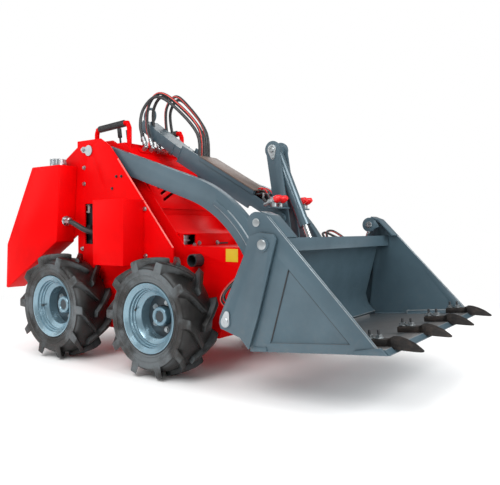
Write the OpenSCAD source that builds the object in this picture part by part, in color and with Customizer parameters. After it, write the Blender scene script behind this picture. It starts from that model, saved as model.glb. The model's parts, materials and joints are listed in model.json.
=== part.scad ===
// Compact stand-on skid steer loader with curved lift arms and a clamshell bucket.
// Millimetres. +X points forward, +Y to the machine's left, +Z up. The origin is on the
// ground under the middle of the machine's outline.

/* [Wheels] */
// Distance between front and rear axles
wheelbase = 760; // [720:5:800]
// Distance between the tyre centres of one axle
track = 954; // [940:2:980]
// Tyre diameter over the lugs
tyre_d = 584; // [570:2:596]
// Tyre section width
tyre_w = 216; // [204:2:220]
// Rim flange diameter
rim_d = 340; // [330:2:350]
// Rim width over the flanges
rim_w = 190; // [180:2:194]
// Depth of the wheel disc behind the outer flange
disc_inset = 128; // [110:2:136]
// Wheel bolt circle
bolt_pcd = 140; // [130:2:150]
// Wheel bolts
bolt_count = 5; // [4:1:6]
// Axle spindle diameter
spindle_d = 60; // [50:1:64]

/* [Frame] */
// Distance from the centre plane to the outer tower plates' outer faces
tower_y = 342; // [340:1:346]
// Distance from the centre plane to the inner frame plates' outer faces
frame_y = 250; // [244:1:252]
// Thickness of the frame and tower plates
plate_t = 10; // [8:1:12]
// Height of the tower tops
tower_top = 1240; // [1236:2:1250]
// Rear edge of the tower plates behind mid-wheelbase
tower_rear = 440; // [430:2:450]
// Height of the frame floor
frame_floor = 165; // [150:5:180]
// Height of the front deck
deck_z = 630; // [620:2:640]
// Front face of the frame ahead of mid-wheelbase
frame_front = 735; // [725:2:740]
// Sheet thickness of hood, console and boxes
sheet_t = 6; // [4:1:8]

/* [Side tanks and boxes] */
// Thickness of each side tank
tank_t = 125; // [110:1:130]
// Height of the side tanks' tops
tank_top = 1093; // [1080:1:1100]
// Rearmost point of the tanks behind mid-wheelbase
tank_rear = 1000; // [980:5:1010]
// Width of the side boxes
box_w = 150; // [140:2:156]
// Length of the side boxes
box_len = 240; // [230:2:246]
// Height of the side boxes' tops
box_top = 878; // [860:2:890]
// Height of the side boxes' floors
box_floor = 528; // [520:2:540]

/* [Lift arms] */
// Lift pivot ahead of mid-wheelbase
pivot_x = -334; // [-340:1:-328]
// Lift pivot height
pivot_z = 1178; // [1172:1:1184]
// Arm width in side view
arm_w = 118; // [110:1:122]
// Arm thickness across the machine
arm_t = 50; // [46:1:52]
// Distance from the centre plane to the arms' outer faces
arm_y = 312; // [310:1:318]
// Downward slope of the arms' rear part
arm_slope = 18.2; // [17:0.2:19]
// Downward slope of the arms' front part
arm_drop = 73.5; // [70:0.5:76]
// Bend radius of the arms' middle line
arm_bend_r = 700; // [600:10:720]
// Lift pivot pin diameter
pivot_d = 45; // [40:1:50]

/* [Bucket] */
// Tilt pin ahead of mid-wheelbase
tilt_x = 900; // [896:1:906]
// Tilt pin height
tilt_z = 395; // [392:1:400]
// Tilt pin diameter
tilt_d = 40; // [36:1:44]
// Upward slope of the parked bucket's floor
bucket_pitch = 5.7; // [5:0.1:6]
// Bucket width over the outer side plates
bucket_w = 1235; // [1230:1:1245]
// Thickness of the outer side plates
cheek_t = 10; // [8:1:12]
// Thickness of the jaw's side frames
jaw_t = 15; // [12:1:15]
// Clearance between jaw and side plates
jaw_gap = 5; // [4:0.5:6]
// Teeth
tooth_count = 4; // [3:1:5]
// Distance from the jaw's side frames to the middle of the outermost teeth
tooth_edge = 77.5; // [60:0.5:140]

/* [Hydraulics] */
// Lift cylinder barrel diameter
lift_barrel_d = 60; // [54:1:62]
// Lift cylinder rod diameter
lift_rod_d = 32; // [28:1:32]
// Tilt cylinder barrel diameter
tilt_barrel_d = 56; // [50:1:58]
// Tilt cylinder rod diameter
tilt_rod_d = 30; // [25:1:32]
// Jaw cylinder barrel diameter
jaw_barrel_d = 46; // [40:1:48]
// Jaw cylinder rod diameter
jaw_rod_d = 25; // [20:1:26]
// Outer diameter of the pressure hoses
hose_d = 18; // [16:1:19]
// Radial running clearance of the pins
pin_gap = 0.05; // [0.03:0.01:0.08]

/* [Hidden] */
$fn = 64;

red = "#d8121a";
slate = "#5f6d76";
dark = "#2a2d30";
zinc = "#c9ced0";
rubber = "#2b2623";
rim_grey = "#a9b6be";

tyre_r = tyre_d / 2;
wheel_y = track / 2;
eps = 0.01;
function dir(a) = [cos(a), sin(a)];
function turn(p, a) = [p.x * cos(a) - p.y * sin(a), p.x * sin(a) + p.y * cos(a)];

// Side profiles are drawn as [x, z] and extruded across the machine from y to y + t.
module plate(y, t) {
    translate([0, y + t, 0]) rotate([90, 0, 0]) linear_extrude(t) children();
}
module y_rod(p, y, h, d) {
    translate([p.x, y, p.y]) rotate([-90, 0, 0]) cylinder(d = d, h = h);
}
module both() {
    children();
    mirror([0, 1, 0]) children();
}
module on_side(s) {
    mirror([0, s < 0 ? 1 : 0, 0]) children();
}
module strip(p, q, w) {
    d = q - p;
    translate(p) rotate(atan2(d.y, d.x)) translate([0, -w / 2]) square([norm(d), w]);
}

// Lift arm middle line: a straight rear part, an arc and a straight drop to the tilt pin.
pivot = [pivot_x, pivot_z];
tilt = [tilt_x, tilt_z];
arm_span = tilt - pivot;
arm_reach = (arm_span.x * sin(arm_drop) + arm_span.y * cos(arm_drop)) / sin(arm_drop - arm_slope);
arm_corner = pivot + arm_reach * dir(-arm_slope);
arm_tangent = arm_bend_r * tan((arm_drop - arm_slope) / 2);
arc_from = arm_corner - arm_tangent * dir(-arm_slope);
arc_centre = arc_from - arm_bend_r * dir(90 - arm_slope);
function arm_point(a, r = arm_bend_r) = arc_centre + r * dir(90 - a);
arm_in = arm_y - arm_t;
arm_mid = arm_y - arm_t / 2;
tip_r = 48;
boss_r = 66;

// The bucket is drawn about the tilt pin with its floor level, then pitched.
module in_bucket() {
    translate([tilt_x, 0, tilt_z]) rotate([0, -bucket_pitch, 0]) children();
}
function bucket_at(p) = tilt + turn(p, bucket_pitch);
floor_z = -186;
floor_t = 12;
jaw_hinge = [203, 244];
jaw_pin = [170, 336];
jaw_base = [-14, -63];
tilt_eye = [105, 163];
cheek_out = bucket_w / 2;
jaw_out = cheek_out - cheek_t - jaw_gap;
jaw_in = jaw_out - jaw_t;
board_y = jaw_in - jaw_gap;
jaw_cyl_y = jaw_in - 42;
rib_y = jaw_cyl_y - 46;
rib_t = 12;
tooth_tip = 778;
lip = [130, -157];

// The outline runs from the tanks' rear ends to the tooth tips.
x_front = bucket_at([tooth_tip, floor_z]).x;
x_mid = (x_front - tank_rear) / 2;
module placed() {
    translate([-x_mid, 0, 0]) children();
}

// Front edge of the towers, shared by the outer and inner plates.
tower_brow = [-90, 1117];
tower_foot = [331, 623];
module tower_outline() {
    polygon([[-tower_rear, frame_floor + 60], [-tower_rear, 690], [-640, 575], [-640, 1000], [-545, 1145],
        [-tower_rear, 1205], [-tower_rear, tower_top], [-236, tower_top], [-160, 1196], tower_brow,
        tower_foot, [331, 560], [300, 500], [300, frame_floor], [-tower_rear + 60, frame_floor]]);
}
module inner_outline() {
    polygon([[-tower_rear, frame_floor + 60], [-tower_rear, tower_top], [-236, tower_top], [-160, 1196],
        tower_brow, [325, deck_z], [frame_front, deck_z], [716, 516], [600, 285], [560, frame_floor],
        [-tower_rear + 60, frame_floor]]);
}
module tub_outline() {
    polygon([[-tower_rear, frame_floor + 60], [-tower_rear + 60, frame_floor], [560, frame_floor],
        [600, 285], [716, 516], [frame_front, deck_z], [-tower_rear, deck_z]]);
}

// The deck's front is notched for the hose beam and the mast when the arms are down.
notch_y = 100;
module frame_tub() {
    inside = frame_y - plate_t;
    color(red) placed() {
        difference() {
            plate(-inside, 2 * inside) tub_outline();
            plate(-inside - eps, 2 * inside + 2 * eps) offset(delta = -plate_t) tub_outline();
            translate([-tower_rear + plate_t - eps, -inside + plate_t, deck_z - plate_t - eps])
                cube([700, 2 * (inside - plate_t), plate_t + 1]);
            translate([600, -notch_y, 440]) cube([160, 2 * notch_y, 200]);
        }
    }
}

module inner_plate(s) {
    color(red) placed() on_side(s) difference() {
        plate(frame_y - plate_t, plate_t) inner_outline();
        for (x = [-1, 1]) y_rod([x * wheelbase / 2, tyre_r], frame_y - 2 * plate_t, 4 * plate_t, axle_d);
        y_rod(pivot, frame_y - 2 * plate_t, 4 * plate_t, pivot_d + 2 * pin_gap);
        y_rod(lift_base, frame_y - 2 * plate_t, 4 * plate_t, lift_pin_d);
        if (s < 0) y_rod(outlet, frame_y - 2 * plate_t, 4 * plate_t, outlet_d);
    }
}

module tower_plate(s) {
    color(red) placed() on_side(s) difference() {
        plate(tower_y - plate_t, plate_t) tower_outline();
        plate(tower_y - 2 * plate_t, 4 * plate_t) translate([-376, 634]) square([220, 235]);
        y_rod([-wheelbase / 2, tyre_r], tower_y - 2 * plate_t, 4 * plate_t, axle_d);
        y_rod(pivot, tower_y - 2 * plate_t, 4 * plate_t, pivot_d + 2 * pin_gap);
        y_rod(lift_base, tower_y - 2 * plate_t, 4 * plate_t, lift_pin_d);
    }
}

// Hood: a sloped louvred panel, a step and a front wall with a service window.
hood_top = [-40, 1105];
hood_knee = [140, 836];
hood_path = [hood_top, hood_knee, [128, 836], [128, 802], [150, 800], [205, 728], [290, 698], [290, deck_z]];
hood_in = [[280, deck_z], [280, 690], [198, 719], [142, 790], [112, 796], [112, 860], [-44, 1093]];
hood_slope = atan2(hood_top.y - hood_knee.y, hood_knee.x - hood_top.x);
hood_y = frame_y - plate_t;
module hood_sheet() {
    polygon(concat(hood_path, hood_in));
}
module hood() {
    slot = [14, 140];
    color(red) placed() difference() {
        plate(-hood_y, 2 * hood_y) hood_sheet();
        both() translate([hood_top.x, 0, hood_top.y]) rotate([0, hood_slope, 0])
            for (i = [0:2]) translate([110 + 42 * i, 60, -40]) rotate(-28)
                cube([slot.x, slot.y, 80]);
        translate([250, -215, 636]) cube([80, 100, 56]);
    }
}

// Console over the rear of the frame, with the valve face at its front.
console_top = 1222;
face_top = [-140, console_top];
face_a = atan2(face_top.y - hood_top.y, hood_top.x - face_top.x);
module console_outline() {
    polygon([hood_top, face_top, [-tower_rear, console_top], [-tower_rear - 28, 1150],
        [-tower_rear, deck_z], [-tower_rear + 40, deck_z], [-300, 1060], [-90, 1060]]);
}
module console() {
    color(red) placed() difference() {
        plate(-hood_y, 2 * hood_y) console_outline();
        plate(-hood_y + sheet_t, 2 * (hood_y - sheet_t)) offset(delta = -sheet_t) console_outline();
        translate([-280, -hood_y + 30, 1040]) cube([170, 2 * hood_y - 60, 40]);
    }
}

// Five elbow fittings in a row on the valve face.
port_y = [-135, -79, -22, 87, 135];
port = [-104, 1180];
elbow_h = 40;
elbow = port + 34 * dir(90 - face_a);
module valve_bank() {
    color(zinc) placed() {
        translate([port.x, 0, port.y]) rotate([0, face_a - 90, 0]) {
            translate([0, -170, -17]) cube([8, 340, 34]);
            for (y = port_y) translate([4, y, 0]) rotate([0, 90, 0]) cylinder(d = 24, h = 30, $fn = 6);
        }
        for (y = port_y) translate([elbow.x, y, elbow.y]) rotate([0, -20, 0]) {
            sphere(d = 26);
            cylinder(d = 20, h = elbow_h);
            translate([0, 0, 16]) cylinder(d = 27, h = 14, $fn = 6);
        }
    }
}

module controls() {
    color(dark) placed() {
        for (y = [-130, -60, 60, 130]) translate([-300, y, console_top]) {
            cylinder(d = 34, h = 14);
            translate([0, 0, 8]) rotate([0, -8, 0]) {
                cylinder(d = 12, h = 60);
                translate([0, 0, 50]) cylinder(d = 26, h = 55);
            }
        }
        translate([-360, 0, console_top]) cylinder(d = 62, h = 24);
    }
}

// Side tanks: slanted bottoms over the rear wheels.
module tank_outline() {
    polygon([[-441, tank_top], [-709, tank_top], [-tank_rear + 16, 626], [-tank_rear, 353],
        [-tank_rear + 16, 350], [-475, 648]]);
}
module tank(s) {
    color(red) placed() on_side(s) plate(tower_y, tank_t) tank_outline();
}
module filler_caps() {
    color(zinc) placed() both() translate([-540, tower_y + tank_t / 2, tank_top]) {
        cylinder(d = 70, h = 14);
        difference() {
            cylinder(d = 92, h = 42);
            for (i = [0:15]) rotate(i * 22.5) translate([46, 0, 12]) cylinder(d = 9, h = 40);
        }
    }
}

module side_box(s) {
    color(red) placed() on_side(s) difference() {
        translate([-box_len / 2, tower_y, box_floor]) cube([box_len, box_w, box_top - box_floor]);
        translate([-box_len / 2 + sheet_t, tower_y - eps, box_floor + sheet_t])
            cube([box_len - 2 * sheet_t, box_w - sheet_t, box_top - box_floor - 2 * sheet_t]);
    }
}

// Grab handles stand on the console and run fore and aft.
handle_y = 222;
handle_d = 28;
handle_pts = [[-408, 1200], [-408, 1290], [-400, 1312], [-378, 1322], [-160, 1336], [-136, 1328], [-124, 1306],
    [-124, 1176]];
module grab_handles() {
    color(red) placed() both() difference() {
        hose([for (p = handle_pts) [p.x, handle_y, p.y]], handle_d, 12);
        plate(-hood_y, 2 * hood_y) console_outline();
    }
}
module handle_grips() {
    from = handle_pts[3];
    to = handle_pts[4];
    run = to - from;
    color(rubber) placed() both() translate([from.x, handle_y, from.y]) rotate([0, 90 - atan2(run.y, run.x), 0])
        difference() {
            cylinder(d = handle_d + 12, h = norm(run));
            translate([0, 0, -1]) cylinder(d = handle_d, h = norm(run) + 2);
        }
}

module engine() {
    color(dark) placed() translate([-360, -200, frame_floor + plate_t]) cube([400, 400, 560]);
}
module muffler() {
    color(zinc) placed() translate([170, -165, frame_floor + plate_t]) {
        cylinder(d = 110, h = 500);
        translate([0, 0, 440]) cylinder(d = 126, h = 12);
        translate([0, 0, 480]) cylinder(d = 122, h = 10);
    }
}
outlet = [430, 560];
outlet_d = 66;
module exhaust_outlet() {
    color(dark) placed() difference() {
        y_rod(outlet, -frame_y - 60, 80, outlet_d);
        y_rod(outlet, -frame_y - 61, 70, outlet_d - 12);
    }
}

// Axle housings through both plates, with the spindles that the wheels run on.
axle_d = 100;
hub_face = wheel_y + rim_w / 2 - disc_inset;
module axles() {
    color(dark) placed() both() for (x = [-1, 1]) {
        p = [x * wheelbase / 2, tyre_r];
        y_rod(p, frame_y - plate_t, hub_face - frame_y + plate_t - 30, axle_d);
        y_rod(p, frame_y - plate_t, hub_face - frame_y + plate_t + 26, spindle_d);
    }
}

// Rear step: a tray open below, behind the towers and clear of the rear axle.
step_len = 330;
step_h = 40;
step_z = 245;
axle_gap = 10;
step_front = -max(tower_rear, wheelbase / 2 + axle_d / 2 + axle_gap);
module platform() {
    color(dark) placed() translate([step_front - step_len, -frame_y, step_z]) difference() {
        cube([step_len, 2 * frame_y, step_h]);
        translate([plate_t, plate_t, -eps])
            cube([step_len - 2 * plate_t, 2 * (frame_y - plate_t), step_h - sheet_t]);
    }
}

module pivot_pins() {
    color(zinc) placed() both() {
        y_rod(pivot, frame_y - plate_t, tower_y - frame_y + plate_t + 4, pivot_d);
        y_rod(lift_base, frame_y - plate_t, tower_y - frame_y + plate_t, lift_pin_d);
        plate(tower_y, 6) union() {
            translate(pivot) circle(d = 62);
            strip(pivot, pivot + [-46, 8], 34);
            translate(pivot + [-46, 8]) circle(d = 34);
        }
    }
}

// Hoses are swept as closed tubes along their route points.
function unit(v) = v / norm(v);
function route_tangent(r, i) =
    unit(r[min(i + 1, len(r) - 1)] - r[max(i - 1, 0)]);
function ring_at(r, i, d, sides) =
    let (t = route_tangent(r, i), u = unit(cross(t, [0.31, 0.95, 0.05])), w = cross(t, u))
    [for (k = [0:sides - 1]) r[i] + d / 2 * (u * cos(k * 360 / sides) + w * sin(k * 360 / sides))];
module skin(rings) {
    n = len(rings);
    sides = len(rings[0]);
    walls = [for (i = [0:n - 2], k = [0:sides - 1])
        let (a = i * sides + k, b = i * sides + (k + 1) % sides)
        [a, b, b + sides, a + sides]];
    ends = [[for (k = [sides - 1:-1:0]) k], [for (k = [0:sides - 1]) (n - 1) * sides + k]];
    polyhedron([for (ring = rings) each ring], concat(walls, ends));
}
module hose(r, d, sides = 8) {
    skin([for (i = [0:len(r) - 1]) ring_at(r, i, d, sides)]);
}
function mid(p0, p1, p2, p3, t) = 0.5 * ((2 * p1) + (p2 - p0) * t + (2 * p0 - 5 * p1 + 4 * p2 - p3) * t * t
    + (3 * p1 - p0 - 3 * p2 + p3) * t * t * t);
function smooth_route(q, steps) = [for (i = [0:len(q) - 2], k = [0:steps - 1])
    mid(q[max(i - 1, 0)], q[i], q[i + 1], q[min(i + 2, len(q) - 1)], k / steps), q[len(q) - 1]];

tank_hose_pts = [[-474, -405, 770], [-440, -405, 768], [-395, -395, 750], [-340, -366, 716], [-300, -320, 698],
    [-290, -246, 694]];
module tank_hose() {
    color(rubber) placed() hose(smooth_route(tank_hose_pts, 2), 32);
}

// Tyre: a carcass of revolution with hooked lugs from each shoulder past the middle of the tread.
rim_seat = rim_d / 2 - 16;
module tyre_section(r) {
    w = tyre_w / 2;
    f = rim_w / 2;
    side = [[r, w - 48], [r - 8, w - 22], [r - 46, w], [rim_d / 2 + 34, w], [rim_d / 2 + 12, f],
        [rim_d / 2 + 0.5, f - 6.5], [rim_seat, f - 12.5]];
    polygon(concat(side, [for (i = [len(side) - 1:-1:0]) [side[i].x, -side[i].y]]));
}
module at_wheel(fx, s) {
    placed() on_side(s) translate([fx * wheelbase / 2, wheel_y, tyre_r]) rotate([-90, 0, 0]) children();
}
// A lug's stations: distance across, base and top radius, sweep, and half widths at base and top.
lug_h = 26;
lug_count = 10;
lug_path = [[tyre_w / 2 - 0.4, tyre_r - 66, tyre_r - 11, 0, 23, 18],
    [tyre_w / 2 - 24, tyre_r - 44, tyre_r - 1, 4.5, 19, 15],
    [tyre_w / 2 - 64, tyre_r - 34, tyre_r, 13, 17, 13],
    [-8, tyre_r - 32, tyre_r, 25, 18, 13]];
function lug_corner(radius, reach, sweep, across) =
    let (a = sweep + reach / radius * 180 / PI) [radius * cos(a), radius * sin(a), across];
function lug_ring(p) = [lug_corner(p[1], -p[4], p[3], p[0]), lug_corner(p[2], -p[5], p[3], p[0]),
    lug_corner(p[2], p[5], p[3], p[0]), lug_corner(p[1], p[4], p[3], p[0])];
module lug_row() {
    for (i = [0:lug_count - 1]) rotate(i * 360 / lug_count) skin([for (p = lug_path) lug_ring(p)]);
}
module tyre(fx, s) {
    color(rubber) at_wheel(fx, s) {
        rotate_extrude($fn = 96) tyre_section(tyre_r - lug_h);
        lug_row();
        rotate(180 / lug_count) mirror([0, 0, 1]) lug_row();
    }
}

// Rim: flanges, drop centre and a deep disc with bolt holes round the hub.
rim_t = 6;
module rim_section() {
    f = rim_w / 2;
    drop = rim_seat - 42;
    outer = [[rim_d / 2, f], [rim_d / 2, f - 6], [rim_seat - eps, f - 12], [rim_seat - eps, f - 44],
        [drop, f - 66], [drop, -f + 66], [rim_seat - eps, -f + 44], [rim_seat - eps, -f + 12],
        [rim_d / 2, -f + 6], [rim_d / 2, -f]];
    inner = [[rim_d / 2 - rim_t, -f], [rim_seat - rim_t - 3, -f + 12], [rim_seat - rim_t - 3, -f + 42],
        [drop - rim_t, -f + 62], [drop - rim_t, f - 62], [rim_seat - rim_t - 3, f - 42],
        [rim_seat - rim_t - 3, f - 12], [rim_d / 2 - rim_t, f]];
    polygon(concat(outer, inner));
}
module rim(fx, s) {
    drop = rim_seat - 42;
    face = rim_w / 2 - disc_inset;
    color(rim_grey) at_wheel(fx, s) difference() {
        union() {
            rotate_extrude($fn = 96) rim_section();
            translate([0, 0, face]) cylinder(r = drop - eps, h = 10);
            translate([0, 0, face - 28]) cylinder(d = bolt_pcd + 44, h = 29);
            translate([0, 0, face]) cylinder(d = 96, h = 44);
        }
        translate([0, 0, face - 60]) cylinder(d = spindle_d + 2 * pin_gap, h = 90);
        for (i = [0:bolt_count - 1]) rotate(i * 360 / bolt_count)
            translate([bolt_pcd / 2, 0, face - 60]) cylinder(d = 14, h = 120);
    }
}

// Lift arms, forked where the lift cylinders' rod eyes sit.
lift_eye = [-75, 1072];
lift_base = [-230, 420];
lift_pin_d = 30;
fork_w = 38;
function arc_points(r, from, to) = [for (i = [0:24]) arm_point(from + (to - from) * i / 24, r)];
module arm_outline() {
    side = arm_w / 2;
    rise = dir(90 - arm_slope);
    across = dir(90 - arm_drop);
    polygon(concat([pivot + side * rise], arc_points(arm_bend_r + side, arm_slope, arm_drop),
        [tilt + 0.8 * tip_r * across, tilt - 0.8 * tip_r * across],
        arc_points(arm_bend_r - side, arm_drop, arm_slope), [pivot - side * rise]));
    translate(pivot) circle(r = boss_r);
    translate(tilt) circle(r = tip_r);
}
module arm(s) {
    bead_from = arm_slope + 14;
    bead_to = arm_drop - 14;
    color(slate) placed() on_side(s) difference() {
        union() {
            plate(arm_in, arm_t) arm_outline();
            y_rod(pivot, frame_y + 2, tower_y - plate_t - frame_y - 4, 2 * boss_r - 20);
            plate(arm_y - eps, 6) intersection() {
                translate(arc_centre) difference() {
                    circle(r = arm_bend_r + 12, $fn = 180);
                    circle(r = arm_bend_r - 12, $fn = 180);
                }
                polygon([arc_centre, arm_point(bead_from, 2 * arm_bend_r), arm_point(bead_to, 2 * arm_bend_r)]);
            }
        }
        plate(arm_mid - fork_w / 2, fork_w) translate(lift_eye) rotate(-arm_slope)
            translate([-120, -arm_w]) square([215, arm_w + 52]);
        y_rod(pivot, frame_y - 1, tower_y, pivot_d + 2 * pin_gap);
        y_rod(tilt, arm_in - 1, arm_t + 2, tilt_d + 2 * pin_gap);
    }
}

// Front cross tube, mast for the tilt cylinder and the hose carrier beam.
cross_at = arm_point(arm_drop - 8.5);
cross_d = 100;
module cross_tube() {
    color(slate) placed() difference() {
        y_rod(cross_at, -arm_in, 2 * arm_in, cross_d);
        y_rod(cross_at, -arm_in - 1, 2 * arm_in + 2, cross_d - 20);
    }
}
mast_pin = [745, 1130];
mast_w = 78;
mast_in = tilt_barrel_d / 2 + 4;
mast_t = 12;
mast_pin_d = 30;
bracket_z = 822;
bracket_t = 8;
coupler_y = [95, 150];
module mast() {
    color(slate) placed() {
        both() plate(mast_in, mast_t) difference() {
            union() {
                translate(mast_pin) circle(d = mast_w + 10);
                strip(mast_pin, cross_at, mast_w);
            }
            translate(cross_at) circle(d = cross_d);
        }
        y_rod(mast_pin, -mast_in - mast_t - 6, 2 * (mast_in + mast_t + 6), mast_pin_d);
        both() translate([800, mast_in + mast_t - 2, bracket_z]) cube([50, coupler_y[1] - mast_in, bracket_t]);
    }
}
beam_rear = [-196, 1357];
beam_joggle = [66, 1185];
beam_front = mast_pin + 0.62 * (cross_at - mast_pin);
beam_y = 62;
beam_h = 60;
beam_t = 8;
box_h = 100;
cover_t = 8;
cover_gap = 0.2;
beam_a = atan2(beam_front.y - beam_joggle.y, beam_front.x - beam_joggle.x);
function beam_at(along, up) = beam_joggle + along * dir(beam_a) + up * dir(beam_a + 90);
module hose_beam() {
    color(slate) placed() {
        both() plate(beam_y - beam_t, beam_t) {
            strip(beam_rear, beam_joggle, beam_h);
            strip(beam_joggle, beam_front, beam_h);
            strip(beam_at(60, 0), beam_at(640, 0), box_h);
        }
        plate(-beam_y + beam_t / 2, 2 * beam_y - beam_t) {
            strip(beam_at(64, -box_h / 2 + beam_t), beam_at(620, -box_h / 2 + beam_t), beam_t);
            strip(beam_rear + 2 * dir(beam_a), beam_rear + 16 * dir(beam_a), beam_h - 8);
        }
        both() y_rod(beam_front, mast_in + mast_t, beam_y - beam_t / 2 - mast_in - mast_t, 50);
        translate([beam_rear.x + 14, 0, beam_rear.y + 58]) rotate([90, 0, 0])
            rotate_extrude() translate([44, 0]) circle(d = 16);
    }
}
module hose_cover() {
    color(slate) placed() plate(-beam_y - 10, 2 * beam_y + 20)
        strip(beam_at(215, box_h / 2 + cover_gap + cover_t / 2), beam_at(640, box_h / 2 + cover_gap + cover_t / 2),
            cover_t);
}
module couplers() {
    seat = bracket_z + bracket_t;
    color(red) placed() both() for (y = coupler_y) translate([826, y, seat]) {
        cylinder(d = 30, h = 30);
        translate([0, 0, 32]) rotate([0, 70, 0]) translate([0, 0, -30]) cylinder(d = 38, h = 74);
    }
}

// A cylinder is drawn along +Z from its base pin and turned towards its rod eye.
module along(p, q) {
    d = q - p;
    translate([p.x, 0, p.y]) rotate([0, 90 - atan2(d.y, d.x), 0]) children();
}
module barrel(d, len, eye_d, eye_w, bore) {
    difference() {
        union() {
            translate([0, 0, eye_d * 0.4]) cylinder(d = d, h = len - eye_d * 0.4);
            translate([0, 0, len - 34]) cylinder(d = d + 6, h = 34);
            translate([0, -eye_w / 2, 0]) rotate([-90, 0, 0]) cylinder(d = eye_d, h = eye_w);
        }
        translate([0, -eye_w, 0]) rotate([-90, 0, 0]) cylinder(d = bore, h = 2 * eye_w);
        translate([0, 0, eye_d]) cylinder(d = d - 10, h = len - eye_d - 30);
    }
}
module bored_barrel(d, len, eye_d, eye_w, bore, rod_d) {
    difference() {
        barrel(d, len, eye_d, eye_w, bore);
        translate([0, 0, len - 40]) cylinder(d = rod_d + 2 * pin_gap, h = 50);
    }
}
module rod(d, from, to, eye_d, eye_w, piston_d) {
    translate([0, 0, from]) cylinder(d = d, h = to - from - eye_d * 0.3);
    translate([0, 0, from]) cylinder(d = piston_d, h = 24);
    difference() {
        translate([0, -eye_w / 2, to]) rotate([-90, 0, 0]) cylinder(d = eye_d, h = eye_w);
        translate([0, -eye_w, to]) rotate([-90, 0, 0]) cylinder(d = eye_d * 0.5, h = 2 * eye_w);
    }
}

lift_len = 520;
lift_eye_w = 30;
lift_rest = norm(lift_eye - lift_base);
module lift_barrels() {
    color(dark) placed() both() translate([0, arm_mid, 0]) along(lift_base, lift_eye)
        bored_barrel(lift_barrel_d, lift_len, 64, 44, lift_pin_d + 2 * pin_gap, lift_rod_d);
}
module lift_rods() {
    color(zinc) placed() both() translate([0, arm_mid, 0]) along(lift_base, lift_eye)
        rod(lift_rod_d, lift_len - 390, lift_rest, 58, lift_eye_w, lift_barrel_d - 12);
}
tilt_len = 428;
tilt_eye_at = bucket_at(tilt_eye);
tilt_rest = norm(tilt_eye_at - mast_pin);
tilt_eye_w = 36;
module tilt_barrel() {
    color(slate) placed() along(mast_pin, tilt_eye_at)
        bored_barrel(tilt_barrel_d, tilt_len, 62, 2 * mast_in - 4, mast_pin_d + 2 * pin_gap, tilt_rod_d);
}
module tilt_rod() {
    color(zinc) placed() along(mast_pin, tilt_eye_at)
        rod(tilt_rod_d, 110, tilt_rest, 54, tilt_eye_w, tilt_barrel_d - 12);
}
jaw_pin_d = 25;
jaw_len = 330;
jaw_rest = norm(jaw_pin - jaw_base);
module jaw_cylinder() {
    placed() in_bucket() both() translate([0, jaw_cyl_y, 0]) along(jaw_base, jaw_pin) children();
}
module jaw_barrels() {
    color(slate) jaw_cylinder()
        bored_barrel(jaw_barrel_d, jaw_len, 52, 36, jaw_pin_d + 2 * pin_gap, jaw_rod_d);
}
module jaw_rods() {
    color(zinc) jaw_cylinder() rod(jaw_rod_d, 200, jaw_rest, 50, 30, jaw_barrel_d - 12);
}

// Hitch: a plate behind the bucket with ears on the tilt pins and for the tilt rod.
hitch_x = 58;
hitch_t = 14;
ear_t = 12;
ear_gap = 10;
module hitch() {
    wide = arm_y + ear_gap + ear_t + 16;
    color(slate) placed() in_bucket() {
        difference() {
            union() {
                translate([hitch_x, -wide, -130]) cube([hitch_t, 2 * wide, 175]);
                translate([hitch_x, -arm_in + 40, 45 - eps]) cube([hitch_t, 2 * (arm_in - 40), 200]);
                both() for (y = [arm_in - ear_gap - ear_t, arm_y + ear_gap]) plate(y, ear_t) {
                    circle(r = 46);
                    polygon([[0, -46], [hitch_x + 1, -110], [hitch_x + 1, 40], [0, 46]]);
                }
                both() plate(tilt_eye_w / 2 + 4, ear_t) {
                    translate(tilt_eye) circle(r = 34);
                    polygon([[hitch_x + 2, 90], [hitch_x + 2, 230], tilt_eye + [0, 34], tilt_eye + [0, -34]]);
                }
                both() y_rod(tilt_eye, tilt_eye_w / 2 + 4, ear_t + 8, 40);
            }
            translate([hitch_x - 30, -tilt_eye_w / 2 - 4, 100]) cube([140, tilt_eye_w + 8, 200]);
        }
        both() y_rod([0, 0], arm_in - ear_gap - ear_t - 6, arm_t + 2 * (ear_gap + ear_t) + 12, tilt_d);
    }
}

// Bucket back: bent mouldboard, top beam, outer cheeks, inner ribs and the jaw's hinge pins.
board_t = 10;
beam_box = [74, 57];
board_top = [182, 222];
board_path = [board_top, [82, -55], [92, -110], lip];
hinge_d = 36;
module board_outline() {
    back = [for (i = [len(board_path) - 1:-1:0]) board_path[i] - [board_t, i == len(board_path) - 1 ? 12 : 0]];
    polygon(concat(board_path, back));
}
module cheek_outline() {
    polygon([[138, 282], [190, 294], [256, 280], [268, 262], [151, -42], [91, -176], [51, -128],
        [-46, -90], [-52, -66], [-44, -38], [102, 202]]);
}
module bucket_back() {
    color(slate) placed() in_bucket() {
        plate(-board_y, 2 * board_y) {
            board_outline();
            translate(board_top - [board_t, 12]) square(beam_box);
        }
        both() {
            plate(cheek_out - cheek_t, cheek_t) cheek_outline();
            plate(rib_y, rib_t) polygon([[150, 215], [166, 180], [74, -55], [84, -110], [60, -112], [-40, -88],
                [-44, -40], [90, 200]]);
            plate(rib_y, cheek_out - rib_y - eps)
                polygon([[84, -110], [96, -122], [56, -126], [20, -110], [24, -98]]);
            y_rod(jaw_hinge, rib_y - 6, cheek_out + 18 - rib_y, hinge_d);
            y_rod(jaw_hinge, cheek_out - eps, 8, 58);
            y_rod(jaw_base, rib_y - 4, cheek_out + 8 - rib_y, jaw_pin_d);
            y_rod(jaw_base, cheek_out - eps, 5, 52);
        }
    }
}

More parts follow.
